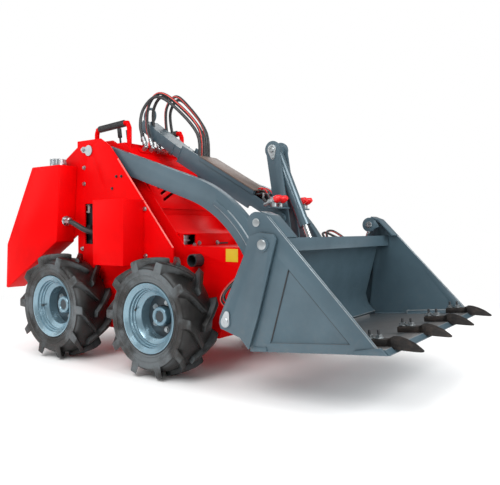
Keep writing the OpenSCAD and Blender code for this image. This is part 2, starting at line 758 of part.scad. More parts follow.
// Jaw: floor, framed side plates, heads for the jaw cylinders, cutting edge and skids.
wear_block = [36, 18];
diag_top = [225, 357];
diag_foot = [643, -168];
module jaw_side() {
    difference() {
        union() {
            translate(jaw_pin) circle(r = 44);
            polygon([jaw_pin + [-44, 0], [140, 240], [150, 150], [88, floor_z], [660, floor_z], diag_foot,
                diag_top, jaw_pin + [10, 43]]);
        }
        translate(jaw_hinge) circle(d = hinge_d + 2 * pin_gap);
    }
}
module jaw() {
    head_y = jaw_cyl_y - 15 - 8 - 12;
    color(slate) placed() in_bucket() {
        difference() {
            union() {
                both() {
                    plate(jaw_in, jaw_t) jaw_side();
                    plate(head_y, 12) difference() {
                        union() {
                            translate(jaw_pin) circle(r = 40);
                            polygon([jaw_pin + [-40, 0], [150, 300], [228, 318], diag_top - [14, 4],
                                jaw_pin + [0, 40]]);
                        }
                        translate(jaw_pin) circle(d = 26);
                    }
                    plate(head_y, jaw_in - head_y + eps) strip(diag_top, [300, 263], 8);
                    plate(head_y, jaw_in - head_y + eps) strip(jaw_pin + [14, 41], diag_top, 8);
                }
                translate([96, -jaw_in - eps, floor_z]) cube([560, 2 * jaw_in + 2 * eps, floor_t]);
                both() translate([330, jaw_in - wear_block.x, floor_z + floor_t - eps])
                    cube([240, wear_block.x + eps, wear_block.y]);
                plate(-jaw_out, 2 * jaw_out)
                    polygon([[590, floor_z], [690, floor_z], [672, floor_z + 20], [590, floor_z + 20]]);
            }
            both() plate(jaw_out - 6, 10) polygon([[303, 140], [540, -150], [190, -150]]);
        }
    }
}
module teeth() {
    span = 2 * (jaw_in - tooth_edge);
    pitch = span / (tooth_count - 1);
    color(dark) placed() in_bucket() for (i = [0:tooth_count - 1])
        translate([0, -span / 2 + i * pitch, floor_z + 20]) {
            translate([560, -24, 0]) cube([110, 48, 24]);
            plate(-30, 60)
                polygon([[640, 0], [640, 36], [700, 34], [tooth_tip, -14], [tooth_tip, -20], [690, -14], [690, 0]]);
        }
}

// Hose loops from the valve face over the lift pivot and down into the beam's cover.
loop_in_y = [-40, -20, 0, 20, 40];
loop_top_y = [-100, -74, -48, 60, 84];
loop_lift = [0, 24, 10, 30, 14];
module hose_loops() {
    start = elbow + (elbow_h - 8) * dir(110);
    color(rubber) placed() for (i = [0:4]) {
        z = loop_lift[i];
        over = beam_at(110, 150);
        into = beam_at(205, 12);
        hose(smooth_route([
            [start.x, port_y[i], start.y],
            [start.x - 36, port_y[i], start.y + 96],
            [start.x - 26, (port_y[i] + loop_top_y[i]) / 2, start.y + 200 + z],
            [start.x + 60, loop_top_y[i], start.y + 262 + z],
            [start.x + 170, (loop_top_y[i] + loop_in_y[i]) / 2, start.y + 200 + z],
            [over.x, loop_in_y[i], over.y + z],
            [into.x, loop_in_y[i], into.y]], 2), hose_d);
    }
}

frame_tub();
inner_plate(-1);  // inner_plate_r
inner_plate(1);  // inner_plate_l
tower_plate(-1);  // tower_plate_r
tower_plate(1);  // tower_plate_l
hood();
console();
valve_bank();
controls();
tank(-1);  // tank_r
tank(1);  // tank_l
filler_caps();
side_box(-1);  // side_box_r
side_box(1);  // side_box_l
grab_handles();
handle_grips();
engine();
muffler();
exhaust_outlet();
axles();
platform();
pivot_pins();
tank_hose();
tyre(1, -1);  // tyre_fr
tyre(1, 1);  // tyre_fl
tyre(-1, -1);  // tyre_rr
tyre(-1, 1);  // tyre_rl
rim(1, -1);  // rim_fr
rim(1, 1);  // rim_fl
rim(-1, -1);  // rim_rr
rim(-1, 1);  // rim_rl
arm(-1);  // arm_r
arm(1);  // arm_l
cross_tube();
mast();
hose_beam();
hose_cover();
couplers();
lift_barrels();
lift_rods();
tilt_barrel();
tilt_rod();
hitch();
bucket_back();
jaw();
teeth();
jaw_barrels();
jaw_rods();
hose_loops();
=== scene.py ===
import json
import math

import bmesh
import bpy
from mathutils import Matrix, Vector


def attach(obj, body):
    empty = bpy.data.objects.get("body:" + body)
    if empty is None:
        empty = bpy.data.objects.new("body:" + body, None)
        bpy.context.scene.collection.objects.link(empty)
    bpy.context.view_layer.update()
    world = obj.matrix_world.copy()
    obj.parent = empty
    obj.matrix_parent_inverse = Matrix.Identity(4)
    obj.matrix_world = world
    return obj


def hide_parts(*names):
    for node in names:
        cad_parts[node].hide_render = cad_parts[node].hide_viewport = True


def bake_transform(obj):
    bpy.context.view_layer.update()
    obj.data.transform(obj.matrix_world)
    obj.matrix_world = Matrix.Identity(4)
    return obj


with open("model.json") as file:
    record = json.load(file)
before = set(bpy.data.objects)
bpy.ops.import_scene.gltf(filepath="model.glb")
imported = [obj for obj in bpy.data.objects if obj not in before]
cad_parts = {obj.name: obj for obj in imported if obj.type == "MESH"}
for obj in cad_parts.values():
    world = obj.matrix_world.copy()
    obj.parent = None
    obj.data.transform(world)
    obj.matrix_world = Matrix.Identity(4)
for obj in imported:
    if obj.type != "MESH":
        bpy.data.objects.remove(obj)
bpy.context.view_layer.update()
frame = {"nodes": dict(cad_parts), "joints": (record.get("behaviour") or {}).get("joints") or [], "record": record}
nodes = frame["nodes"]
slotOfNode = {part["node"]: part["material_slot"] for part in frame["record"]["subparts"]}
jointAt = {joint["name"]: Vector(joint["pos_m"]) for joint in frame["joints"] if "pos_m" in joint}
bodyOf = {node: body for body, held in frame["record"]["behaviour"]["bodies"].items() for node in held}
scene = bpy.context.scene
midX = (jointAt["wheel_fr_spin"].x + jointAt["wheel_rr_spin"].x) / 2   # mid-wheelbase in the row frame
bothSides = (-1, 1)   # right and left of the centre plane
upright = Vector((0, 0, 1))
print("frame loaded", len(nodes), "nodes")


def at(x, y, z):   # millimetres from mid-wheelbase, centre plane and ground
    return Vector((midX + x / 1000, y / 1000, z / 1000))


def hang(name, data, place, look):   # a camera or a lamp, looking along a direction
    thing = bpy.data.objects.new(name, data)
    thing.location = place
    thing.rotation_mode = "QUATERNION"
    thing.rotation_quaternion = look.to_track_quat("-Z", "Y")
    scene.collection.objects.link(thing)
    return thing


# camera, fitted to the photograph's wheels, teeth and bucket edges
view = {"place": (2338.9, -2465.2, 717.4), "azimuth": 35.6, "down": 1.3, "focalPixels": 561.8,
        "pixels": 500, "sensor": 36}


def makeCamera():
    data = bpy.data.cameras.new("photo_view")
    data.sensor_fit = "HORIZONTAL"
    data.sensor_width = view["sensor"]
    data.lens = view["sensor"] * view["focalPixels"] / view["pixels"]
    turn, dip = math.radians(view["azimuth"]), math.radians(view["down"])
    look = Vector((-math.sin(turn) * math.cos(dip), math.cos(turn) * math.cos(dip), -math.sin(dip)))
    scene.camera = hang("photo_view", data, at(*view["place"]), look)


makeCamera()
print("camera set")


# node helpers
def feed(tree, value, socket):   # a plain value, a colour, a direction or another node's output
    if isinstance(value, (int, float, str)):
        socket.default_value = value
    elif isinstance(value, tuple):
        socket.default_value = (*value, 1) if socket.type == "RGBA" else value
    else:
        tree.links.new(value, socket)


def fill(tree, node, **inputs):   # an underscore stands for a space in an input's name
    for label, value in inputs.items():
        feed(tree, value, node.inputs[label.replace("_", " ")])
    return node


def addNode(tree, kind, **inputs):
    return fill(tree, tree.nodes.new(kind), **inputs)


def noiseNode(tree, coords, scale, detail, rough):
    noise = addNode(tree, "ShaderNodeTexNoise", Vector=coords, Scale=scale, Detail=detail, Roughness=rough)
    return noise.outputs["Fac"]


def mathNode(tree, operation, *values, clamp=False):
    node = tree.nodes.new("ShaderNodeMath")
    node.operation = operation
    node.use_clamp = clamp
    for socket, value in zip(node.inputs, values):
        feed(tree, value, socket)
    return node.outputs[0]


def rangeNode(tree, value, low, high, outLow=0.0, outHigh=1.0):
    node = tree.nodes.new("ShaderNodeMapRange")
    node.interpolation_type = "SMOOTHSTEP"
    for socket, amount in zip(node.inputs, (value, low, high, outLow, outHigh)):
        feed(tree, amount, socket)
    return node.outputs[0]


def mixNode(tree, factor, a, b):
    node = tree.nodes.new("ShaderNodeMix")
    node.data_type = "RGBA"
    for index, value in ((0, factor), (6, a), (7, b)):   # the colour sockets of this node
        feed(tree, value, node.inputs[index])
    return node.outputs[2]


def objectCoords(tree):
    return tree.nodes.new("ShaderNodeTexCoord").outputs["Object"]


def facing(tree, axis):   # how far the surface of the unmoved piece faces along an axis
    normal = tree.nodes.new("ShaderNodeTexCoord").outputs["Normal"]
    return addNode(tree, "ShaderNodeSeparateXYZ", Vector=normal).outputs[axis]


def newMaterial(name):
    material = bpy.data.materials.new(name)
    material.use_nodes = True
    tree = material.node_tree
    return material, tree, tree.nodes["Principled BSDF"]


def addBump(tree, shader, height, strength, distance):
    bump = addNode(tree, "ShaderNodeBump", Strength=strength, Distance=distance, Height=height)
    fill(tree, shader, Normal=bump.outputs["Normal"])


# wear on all painted and bare metal: noises as (detail, roughness), after a scale where it is fixed
wear = {"cloudScale": 2.6, "scratchScale": 30.0, "cloud": (5.0, 0.6), "grain": (2.0, 0.5),
        "speckle": (38.0, 8.0, 0.68), "speckleRange": (0.44, 0.72), "scratch": (9.0, 0.75),
        "scratchRange": (0.63, 0.69), "scratchTurn": (0.5, 0.35, 0.8), "scratchStretch": (0.12, 1.0, 1.0),
        "patch": (7.0, 3.0, 0.5), "patchRange": (0.52, 0.7), "shadeRange": (0.35, 0.70),
        "roughRange": (0.3, 0.75), "upward": (0.93, 0.99, 0.0, 0.7), "dustDull": 0.4, "grainDepth": 0.002,
        "coatRough": 0.12}


def shaderGroup(name, inputs, outputs):
    tree = bpy.data.node_groups.new(name, "ShaderNodeTree")
    for way, labels in (("INPUT", inputs), ("OUTPUT", outputs)):
        for label in labels:
            tree.interface.new_socket(label, in_out=way, socket_type="NodeSocketFloat")
    return tree, tree.nodes.new("NodeGroupInput").outputs, tree.nodes.new("NodeGroupOutput")


def placeGroup(tree, group, **inputs):
    node = tree.nodes.new("ShaderNodeGroup")
    node.node_tree = group
    return fill(tree, node, **inputs).outputs


def makeFinishGroup():   # cloudy shade, fine grain, dust that settles low and sparse scratches
    inputs = ("Cloud Scale", "Grain Scale", "Dust Height", "Scratch Scale")
    tree, given, end = shaderGroup("workedFinish", inputs, ("Cloud", "Grain", "Dust", "Scratch"))
    coords = objectCoords(tree)
    cloud = noiseNode(tree, coords, given["Cloud Scale"], *wear["cloud"])
    grain = noiseNode(tree, coords, given["Grain Scale"], *wear["grain"])
    split = addNode(tree, "ShaderNodeSeparateXYZ", Vector=coords)
    low = mathNode(tree, "DIVIDE", split.outputs[2], given["Dust Height"])
    settled = rangeNode(tree, low, 1.0, 0.0)
    speckle = rangeNode(tree, noiseNode(tree, coords, *wear["speckle"]), *wear["speckleRange"])
    stretch = addNode(tree, "ShaderNodeMapping", Vector=coords, Rotation=wear["scratchTurn"],
                      Scale=wear["scratchStretch"])
    lines = noiseNode(tree, stretch.outputs[0], given["Scratch Scale"], *wear["scratch"])
    patch = rangeNode(tree, noiseNode(tree, coords, *wear["patch"]), *wear["patchRange"])
    scratch = mathNode(tree, "MULTIPLY", rangeNode(tree, lines, *wear["scratchRange"]), patch)
    dust = mathNode(tree, "MULTIPLY", settled, speckle, clamp=True)
    fill(tree, end, Cloud=cloud, Grain=grain, Dust=dust, Scratch=scratch)
    return tree


finishGroup = makeFinishGroup()

# painted and bare surfaces: base, darker cloud, dust and scratch colours with their amounts
commonFinish = {"rough": (0.30, 0.42), "metal": 0.0, "coat": 0.1, "shine": 0.5, "dustAmount": 0.10,
                "scratchAmount": 0.10, "dustHeight": 0.4, "grain": 700.0, "bump": 0.02}
finishes = {
    "redPaint": {"base": (0.75, 0.001, 0.002), "cloud": (0.62, 0.001, 0.002), "dust": (0.62, 0.015, 0.012),
                 "scratch": (0.80, 0.04, 0.03), "rough": (0.34, 0.46), "coat": 0.01, "shine": 0.03,
                 "dustAmount": 0.12, "scratchAmount": 0.08, "dustHeight": 0.75, "grain": 620, "bump": 0.05},
    "slatePaint": {"base": (0.066, 0.110, 0.138), "cloud": (0.048, 0.083, 0.106), "dust": (0.17, 0.16, 0.15),
                   "scratch": (0.24, 0.26, 0.27), "settled": (0.135, 0.116, 0.106), "rough": (0.32, 0.48),
                   "metal": 0.15, "dustAmount": 0.25, "scratchAmount": 0.30, "dustHeight": 0.55,
                   "grain": 480.0, "bump": 0.10},
    "rimPaint": {"base": (0.23, 0.36, 0.43), "cloud": (0.14, 0.24, 0.30), "dust": (0.30, 0.27, 0.24),
                 "scratch": (0.50, 0.56, 0.60), "rough": (0.20, 0.34), "metal": 0.55, "coat": 0.25,
                 "dustAmount": 0.30, "scratchAmount": 0.25, "grain": 500.0, "bump": 0.06},
    "discPaint": {"base": (0.040, 0.055, 0.066), "cloud": (0.026, 0.037, 0.045), "dust": (0.15, 0.13, 0.12),
                  "scratch": (0.16, 0.19, 0.21), "rough": (0.28, 0.44), "metal": 0.3,
                  "dustAmount": 0.25, "scratchAmount": 0.25, "grain": 500.0, "bump": 0.08},
    "barrelPaint": {"base": (0.08, 0.13, 0.16), "cloud": (0.06, 0.10, 0.124), "dust": (0.17, 0.16, 0.15),
                    "scratch": (0.30, 0.33, 0.35), "rough": (0.14, 0.24), "metal": 0.35, "coat": 0.5,
                    "dustAmount": 0.15, "scratchAmount": 0.25, "dustHeight": 0.6, "grain": 520,
                    "bump": 0.04},
    "coverPaint": {"base": (0.168, 0.124, 0.106), "cloud": (0.135, 0.102, 0.088), "dust": (0.20, 0.17, 0.15),
                   "scratch": (0.26, 0.25, 0.24), "rough": (0.46, 0.60), "coat": 0.0, "shine": 0.2,
                   "dustAmount": 0.25, "scratchAmount": 0.30, "dustHeight": 2.0, "grain": 480, "bump": 0.10},
    # worn bare steel on edges, kept pale so that it is also a painted highlight where plate edges catch the light
    "wornEdge": {"base": (0.36, 0.41, 0.44), "cloud": (0.15, 0.18, 0.20), "dust": (0.34, 0.26, 0.20),
                 "scratch": (0.55, 0.50, 0.45), "rough": (0.28, 0.46), "metal": 0.5, "coat": 0.0,
                 "dustAmount": 0.40, "scratchAmount": 0.60, "dustHeight": 0.9, "grain": 300.0, "bump": 0.25},
    # a painted highlight: pale red for the light caught along the tower plates' folded front edges
    "redEdge": {"base": (0.86, 0.17, 0.15), "cloud": (0.78, 0.07, 0.06), "dust": (0.7, 0.2, 0.18),
                "scratch": (0.9, 0.4, 0.36), "scratchAmount": 0.50, "dustHeight": 0.8, "grain": 500,
                "bump": 0.05},
    "darkPaint": {"base": (0.030, 0.034, 0.038), "cloud": (0.020, 0.022, 0.025), "dust": (0.13, 0.11, 0.10),
                  "scratch": (0.10, 0.10, 0.10), "rough": (0.42, 0.58), "metal": 0.2, "coat": 0.05,
                  "dustAmount": 0.30, "scratchAmount": 0.25, "dustHeight": 0.6, "grain": 420, "bump": 0.12},
    "zincPlate": {"base": (0.52, 0.56, 0.58), "cloud": (0.36, 0.39, 0.40), "dust": (0.50, 0.46, 0.40),
                  "scratch": (0.80, 0.82, 0.82), "rough": (0.24, 0.42), "metal": 0.95, "coat": 0.0,
                  "scratchAmount": 0.35, "grain": 300.0, "bump": 0.08},
    "hardChrome": {"base": (0.80, 0.82, 0.83), "cloud": (0.72, 0.74, 0.75), "dust": (0.5, 0.47, 0.44),
                   "scratch": (0.60, 0.62, 0.63), "rough": (0.08, 0.16), "metal": 1.0, "coat": 0.0,
                   "dustAmount": 0.06, "scratchAmount": 0.20},
    "castIron": {"base": (0.019, 0.016, 0.015), "cloud": (0.008, 0.007, 0.007), "dust": (0.12, 0.085, 0.065),
                 "scratch": (0.30, 0.22, 0.17), "rough": (0.50, 0.72), "metal": 0.35, "coat": 0.0,
                 "dustAmount": 0.35, "scratchAmount": 0.60, "dustHeight": 0.9, "grain": 190.0, "bump": 0.6},
    "redPlastic": {"base": (0.72, 0.010, 0.012), "cloud": (0.60, 0.006, 0.010), "dust": (0.5, 0.2, 0.18),
                   "scratch": (0.85, 0.10, 0.08), "bump": 0.03},
    "whitePanel": {"base": (0.72, 0.72, 0.70), "cloud": (0.62, 0.62, 0.60), "dust": (0.4, 0.36, 0.3),
                   "scratch": (0.5, 0.5, 0.5), "rough": (0.35, 0.5), "dustHeight": 0.9},
    "yellowPlate": {"base": (0.72, 0.47, 0.015), "cloud": (0.60, 0.38, 0.012), "dust": (0.5, 0.4, 0.2),
                    "scratch": (0.8, 0.6, 0.2), "rough": (0.35, 0.5)},
}


def paintMaterial(name):
    look = {**commonFinish, **finishes[name]}
    material, tree, shader = newMaterial(name)
    finish = placeGroup(tree, finishGroup, Cloud_Scale=wear["cloudScale"], Grain_Scale=look["grain"],
                        Dust_Height=look["dustHeight"], Scratch_Scale=wear["scratchScale"])
    shade = rangeNode(tree, finish["Cloud"], *wear["shadeRange"])
    colour = mixNode(tree, shade, look["base"], look["cloud"])
    dust = mathNode(tree, "MULTIPLY", finish["Dust"], look["dustAmount"])
    colour = mixNode(tree, dust, colour, look["dust"])
    scratch = mathNode(tree, "MULTIPLY", finish["Scratch"], look["scratchAmount"])
    colour = mixNode(tree, scratch, colour, look["scratch"])
    if "settled" in look:   # a browner tone on what faces up
        colour = mixNode(tree, rangeNode(tree, facing(tree, "Z"), *wear["upward"]), colour, look["settled"])
    rough = rangeNode(tree, finish["Cloud"], *wear["roughRange"], *look["rough"])
    dull = mathNode(tree, "MULTIPLY", dust, wear["dustDull"])
    fill(tree, shader, Base_Color=colour, Roughness=mathNode(tree, "ADD", rough, dull, clamp=True),
         Metallic=look["metal"], Coat_Weight=look["coat"], Coat_Roughness=wear["coatRough"],
         Specular_IOR_Level=look["shine"])
    addBump(tree, shader, finish["Grain"], look["bump"], wear["grainDepth"])
    return material


# the mottle of rubber and hoses, set by two noises as (scale, detail, roughness) and the patches' range
patchInputs = ("Patch Scale", "Patch Detail", "Patch Roughness")
patchEnds = ("Patch Low", "Patch High")
grainInputs = ("Grain Scale", "Grain Detail", "Grain Roughness")
mottleInputs = (*patchInputs, *patchEnds, *grainInputs)


def makeMottleGroup():   # soft patches and a fine grain
    tree, given, end = shaderGroup("mottledRubber", mottleInputs, ("Patches", "Grain"))
    coords = objectCoords(tree)
    patches = noiseNode(tree, coords, *[given[label] for label in patchInputs])
    patches = rangeNode(tree, patches, *[given[label] for label in patchEnds])
    grain = noiseNode(tree, coords, *[given[label] for label in grainInputs])
    fill(tree, end, Patches=patches, Grain=grain)
    return tree


mottleGroup = makeMottleGroup()


def mottled(tree, patch, patchRange, grain):
    return placeGroup(tree, mottleGroup, **dict(zip(mottleInputs, (*patch, *patchRange, *grain))))


# rubber of the tyres and grips; the blotches' and the grain's scales are times the rubber's own; the tyre's wall
# pair, dark and a pale blue-grey, is a painted sheen on its sidewalls
rubbers = {
    "tyreRubber": {"base": (0.0050, 0.0046, 0.0044), "dusty": (0.030, 0.027, 0.025), "amount": 0.5,
                   "scale": 11.0, "bump": 0.55, "wall": ((0.012, 0.011, 0.010), (0.100, 0.116, 0.124))},
    "gripRubber": {"base": (0.020, 0.021, 0.023), "dusty": (0.055, 0.055, 0.055), "amount": 0.5,
                   "scale": 22.0, "bump": 0.5},
}
rubberWear = {"patch": (6.0, 0.62), "patchRange": (0.40, 0.72), "wallRange": (0.45, 0.97),
              "blotch": (5.0, 0.65), "blotchRange": (0.38, 0.62), "rough": (0.32, 0.62), "shine": 0.45,
              "grain": (3.0, 0.6), "grainDepth": 0.002, "blotchScale": 0.5, "grainScale": 42}


def rubberMaterial(name):
    look, scale = rubbers[name], rubbers[name]["scale"]
    material, tree, shader = newMaterial(name)
    mottle = mottled(tree, (scale, *rubberWear["patch"]), rubberWear["patchRange"],
                     (scale * rubberWear["grainScale"], *rubberWear["grain"]))
    patches = mottle["Patches"]
    colour = mixNode(tree, mathNode(tree, "MULTIPLY", patches, look["amount"]), look["base"], look["dusty"])
    if "wall" in look:   # painted sheen: where it faces sideways, blotches of dark and of a pale blue-grey that stand for the reflection of the bright surroundings
        across = rangeNode(tree, mathNode(tree, "ABSOLUTE", facing(tree, "Y")), *rubberWear["wallRange"])
        blotchScale = scale * rubberWear["blotchScale"]
        blotches = noiseNode(tree, objectCoords(tree), blotchScale, *rubberWear["blotch"])
        wall = mixNode(tree, rangeNode(tree, blotches, *rubberWear["blotchRange"]), *look["wall"])
        colour = mixNode(tree, across, colour, wall)
    fill(tree, shader, Base_Color=colour, Roughness=rangeNode(tree, patches, 0.0, 1.0, *rubberWear["rough"]),
         Specular_IOR_Level=rubberWear["shine"])
    addBump(tree, shader, mottle["Grain"], look["bump"], rubberWear["grainDepth"])
    return material


# hoses: a cloth-like wrap, some with a red stripe
hoseLook = {"dark": (0.020, 0.022, 0.024), "pale": (0.036, 0.038, 0.040), "stripe": (0.62, 0.045, 0.03),
            "stripeHalf": 0.10, "wrap": (260.0, 3.0, 0.6), "wrapRange": (0.35, 0.7), "rough": (0.36, 0.52),
            "grain": (1400.0, 2.0, 0.5), "bump": 0.15, "grainDepth": 0.001}


def hoseMaterial(name, striped):   # a stripe runs along the hose, by the angle stored on its surface
    material, tree, shader = newMaterial(name)
    mottle = mottled(tree, hoseLook["wrap"], hoseLook["wrapRange"], hoseLook["grain"])
    wrap = mottle["Patches"]
    colour = mixNode(tree, wrap, hoseLook["dark"], hoseLook["pale"])
    if striped:
        around = tree.nodes.new("ShaderNodeAttribute")
        around.attribute_name = "around"
        band = mathNode(tree, "COMPARE", around.outputs["Fac"], 0.5, hoseLook["stripeHalf"])
        colour = mixNode(tree, band, colour, hoseLook["stripe"])
    fill(tree, shader, Base_Color=colour, Roughness=rangeNode(tree, wrap, 0.0, 1.0, *hoseLook["rough"]))
    addBump(tree, shader, mottle["Grain"], hoseLook["bump"], hoseLook["grainDepth"])
    return material


looks = {name: paintMaterial(name) for name in finishes}
looks.update({name: rubberMaterial(name) for name in rubbers})
looks["plainHose"] = hoseMaterial("plainHose", False)
looks["stripedHose"] = hoseMaterial("stripedHose", True)
slotOf = {"redPaint": "red_paint", "slatePaint": "slate_paint", "rimPaint": "rim_paint",
          "darkPaint": "black_parts", "zincPlate": "zinc", "hardChrome": "chrome", "castIron": "cast_teeth",
          "redPlastic": "red_coupler", "tyreRubber": "tyre", "gripRubber": "rubber",
          "yellowPlate": "red_paint", "whitePanel": "zinc", "plainHose": "rubber", "stripedHose": "rubber",
          "discPaint": "rim_paint", "barrelPaint": "slate_paint", "coverPaint": "slate_paint",
          "wornEdge": "slate_paint", "redEdge": "red_paint"}
lookOfSlot = {}
for lookName, slotName in slotOf.items():   # a slot's first look is its usual one
    lookOfSlot.setdefault(slotName, lookName)
ownLook = {"hose_cover": "coverPaint", "tilt_barrel": "barrelPaint", "jaw_barrels": "barrelPaint",
           "lift_barrels": "barrelPaint"}   # pieces with a finish of their own
lookOfNode = {node: ownLook.get(node, lookOfSlot[slot]) for node, slot in slotOfNode.items()}
for node, look in lookOfNode.items():
    nodes[node].data.materials.clear()
    nodes[node].data.materials.append(looks[look])
print("materials made", len(looks))


# mesh helpers
def smoothed(mesh, angle):
    mesh.polygons.foreach_set("use_smooth", [True] * len(mesh.polygons))
    mesh.set_sharp_from_angle(angle=math.radians(angle))
    return mesh


def meshFrom(bm, name, smoothAngle=32):
    mesh = bpy.data.meshes.new(name)
    bm.to_mesh(mesh)
    bm.free()
    return smoothed(mesh, smoothAngle)


def addPiece(name, mesh):
    piece = bpy.data.objects.new(name, mesh)
    scene.collection.objects.link(piece)
    return piece


def closedPiece(bm, name, smoothAngle=32):
    bmesh.ops.recalc_face_normals(bm, faces=bm.faces)
    return addPiece(name, meshFrom(bm, name, smoothAngle))


def baked(piece, smoothAngle=32):   # the modifiers' result as a plain mesh
    depsgraph = bpy.context.evaluated_depsgraph_get()
    mesh = bpy.data.meshes.new_from_object(piece.evaluated_get(depsgraph))
    mesh.name = piece.name
    piece.modifiers.clear()
    piece.data = smoothed(mesh, smoothAngle)
    return piece


plateEdge = 0.0015   # rounding on small plates and castings


def roundEdges(piece, width, angle=34):
    edge = piece.modifiers.new("edge", "BEVEL")
    edge.width = width
    edge.segments = 2
    edge.limit_method = "ANGLE"
    edge.angle_limit = math.radians(angle)
    return baked(piece)


def settle(piece, body, look, *replaced):
    if not piece.data.materials:
        piece.data.materials.append(looks[look])
    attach(piece, body)
    if replaced:
        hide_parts(*replaced)
    return piece


def fitted(bm, name, body, look, *replaced, edge=0):   # a closed piece on its body
    piece = closedPiece(bm, name)
    if edge:
        roundEdges(piece, edge)
    return settle(piece, body, look, *replaced)


def skin(bm, rings, ends=True):   # faces between rings of points, which close on themselves or get ends
    following = rings[1:] if ends else rings[1:] + rings[:1]
    for a, b in zip(rings, following):
        for k in range(len(a)):
            m = (k + 1) % len(a)
            bm.faces.new((a[k], a[m], b[m], b[k]))
    if ends:
        bm.faces.new(rings[0][::-1])
        bm.faces.new(rings[-1])


def ringInto(bm, centre, side, up, radius, count):
    turns = [2 * math.pi * k / count for k in range(count)]
    return [bm.verts.new(centre + radius * (math.cos(a) * side + math.sin(a) * up)) for a in turns]


acrossHint = Vector((0.2, 0.97, 0.1))   # no tube starts along it


def tubeInto(bm, path, radius, count=16, store=None):   # closed tube, its frame carried along the path
    side = None
    rings = []
    for i, p in enumerate(path):
        ahead = (path[min(i + 1, len(path) - 1)] - path[max(i - 1, 0)]).normalized()
        if side is None:
            side = ahead.cross(acrossHint).normalized()
        side = (side - ahead * side.dot(ahead)).normalized()
        rings.append(ringInto(bm, p, side, ahead.cross(side), radius, count))
        if store is not None:
            for k, vert in enumerate(rings[-1]):
                vert[store] = abs(2 * k / count - 1)
    skin(bm, rings)


def latheInto(bm, profile, centre, axis, count=32):   # a profile of (along, radius) in mm
    axis = axis.normalized()
    side = axis.orthogonal().normalized()
    up = axis.cross(side)
    skin(bm, [ringInto(bm, centre + axis * along / 1000, side, up, radius / 1000, count)
              for along, radius in profile])


def loopInto(bm, loop, centre, axis, turns=80):   # the same with a closed loop
    side = axis.orthogonal().normalized()
    up = axis.cross(side)
    rings = []
    for k in range(turns):
        a = 2 * math.pi * k / turns
        out = math.cos(a) * side + math.sin(a) * up
        rings.append([bm.verts.new(centre + (axis * along + out * radius) / 1000) for along, radius in loop])
    skin(bm, rings, False)


def slabInto(bm, place, outline, y0, y1):   # a side outline, made thick across the machine
    skin(bm, [[bm.verts.new(place(x, y, z)) for x, z in outline] for y in (y0, y1)])


def boxed(x0, x1, z0, z1):
    return [(x0, z0), (x1, z0), (x1, z1), (x0, z1)]


def smoothPath(points, steps):
    path = []
    last = len(points) - 1
    for i in range(last):
        p0, p1, p2, p3 = points[max(i - 1, 0)], points[i], points[i + 1], points[min(i + 2, last)]
        for k in range(steps):
            t = k / steps
            path.append(0.5 * (2 * p1 + (p2 - p0) * t + (2 * p0 - 5 * p1 + 4 * p2 - p3) * t * t
                               + (3 * p1 - p0 - 3 * p2 + p3) * t * t * t))
    return path + [points[last]]


# softened copies of the plate work, so that its edges catch the light
softEdges = {
    "tower_plate_r": 1.6, "tower_plate_l": 1.6, "inner_plate_r": 1.6, "inner_plate_l": 1.6, "frame_tub": 2.0,
    "hood": 1.8, "console": 3.0, "tank_r": 5.0, "tank_l": 5.0, "side_box_r": 3.0, "side_box_l": 3.0,
    "arm_r": 3.0, "arm_l": 3.0, "mast": 1.8, "hose_beam": 1.8, "hose_cover": 2.0, "hitch": 1.6,
    "bucket_back": 1.8, "jaw": 1.8, "platform": 2.0,
}
pinEnds = {"bucket_back": 0.6262}   # distance out, past which the mesh is a pin's end
plateMerge = {"near": 0.00002, "flatAngle": 0.6}   # joins the loose triangles of a plate into whole faces


def softenPlates():
    for node, width in softEdges.items():
        bm = bmesh.new()
        bm.from_mesh(nodes[node].data)
        bmesh.ops.remove_doubles(bm, verts=bm.verts, dist=plateMerge["near"])
        flat = math.radians(plateMerge["flatAngle"])
        bmesh.ops.dissolve_limit(bm, angle_limit=flat, verts=bm.verts, edges=bm.edges)
        piece = addPiece(node + "_finish", meshFrom(bm, node + "_finish"))
        roundEdges(piece, width / 1000)
        settle(piece, bodyOf[node], lookOfNode[node], node)
        if node in pinEnds:   # the hinge pins' bare ends
            piece.data.materials.append(looks["zincPlate"])
            for face in piece.data.polygons:
                face.material_index = int(abs(face.center.y) > pinEnds[node])


softenPlates()
print("plates softened", len(softEdges))


# geometry node helpers
def nodeTree(name, inputs):
    tree = bpy.data.node_groups.new(name, "GeometryNodeTree")
    tree.interface.new_socket("Geometry", in_out="INPUT", socket_type="NodeSocketGeometry")
    ids = {}
    for label, kind, value in inputs + [("Finish", "NodeSocketMaterial", None)]:
        socket = tree.interface.new_socket(label, in_out="INPUT", socket_type=kind)
        if value is not None:
            socket.default_value = value
        ids[label] = socket.identifier
    tree.interface.new_socket("Geometry", in_out="OUTPUT", socket_type="NodeSocketGeometry")
    return tree, tree.nodes.new("NodeGroupInput"), ids


def endTree(tree, start, geometry):   # real meshes with their finish
    real = addNode(tree, "GeometryNodeRealizeInstances", Geometry=geometry)
    paint = addNode(tree, "GeometryNodeSetMaterial", Geometry=real.outputs[0],
                    Material=start.outputs["Finish"])
    addNode(tree, "NodeGroupOutput", Geometry=paint.outputs[0])


def runTree(name, mesh, recipe, look, smoothAngle=32, **values):
    tree, ids = recipe
    piece = addPiece(name, mesh)
    modifier = piece.modifiers.new("build", "NODES")
    modifier.node_group = tree
    modifier[ids["Finish"]] = looks[look]
    for label, value in values.items():
        modifier[ids[label.replace("_", " ")]] = value
    return baked(piece, smoothAngle)


# hexagon bolts with washers; head height and washer follow the head's size
boltForm = {"sides": 6, "washerSides": 20, "washerDepth": 0.003, "seat": 0.002, "height": 0.75,
            "washer": 1.35}


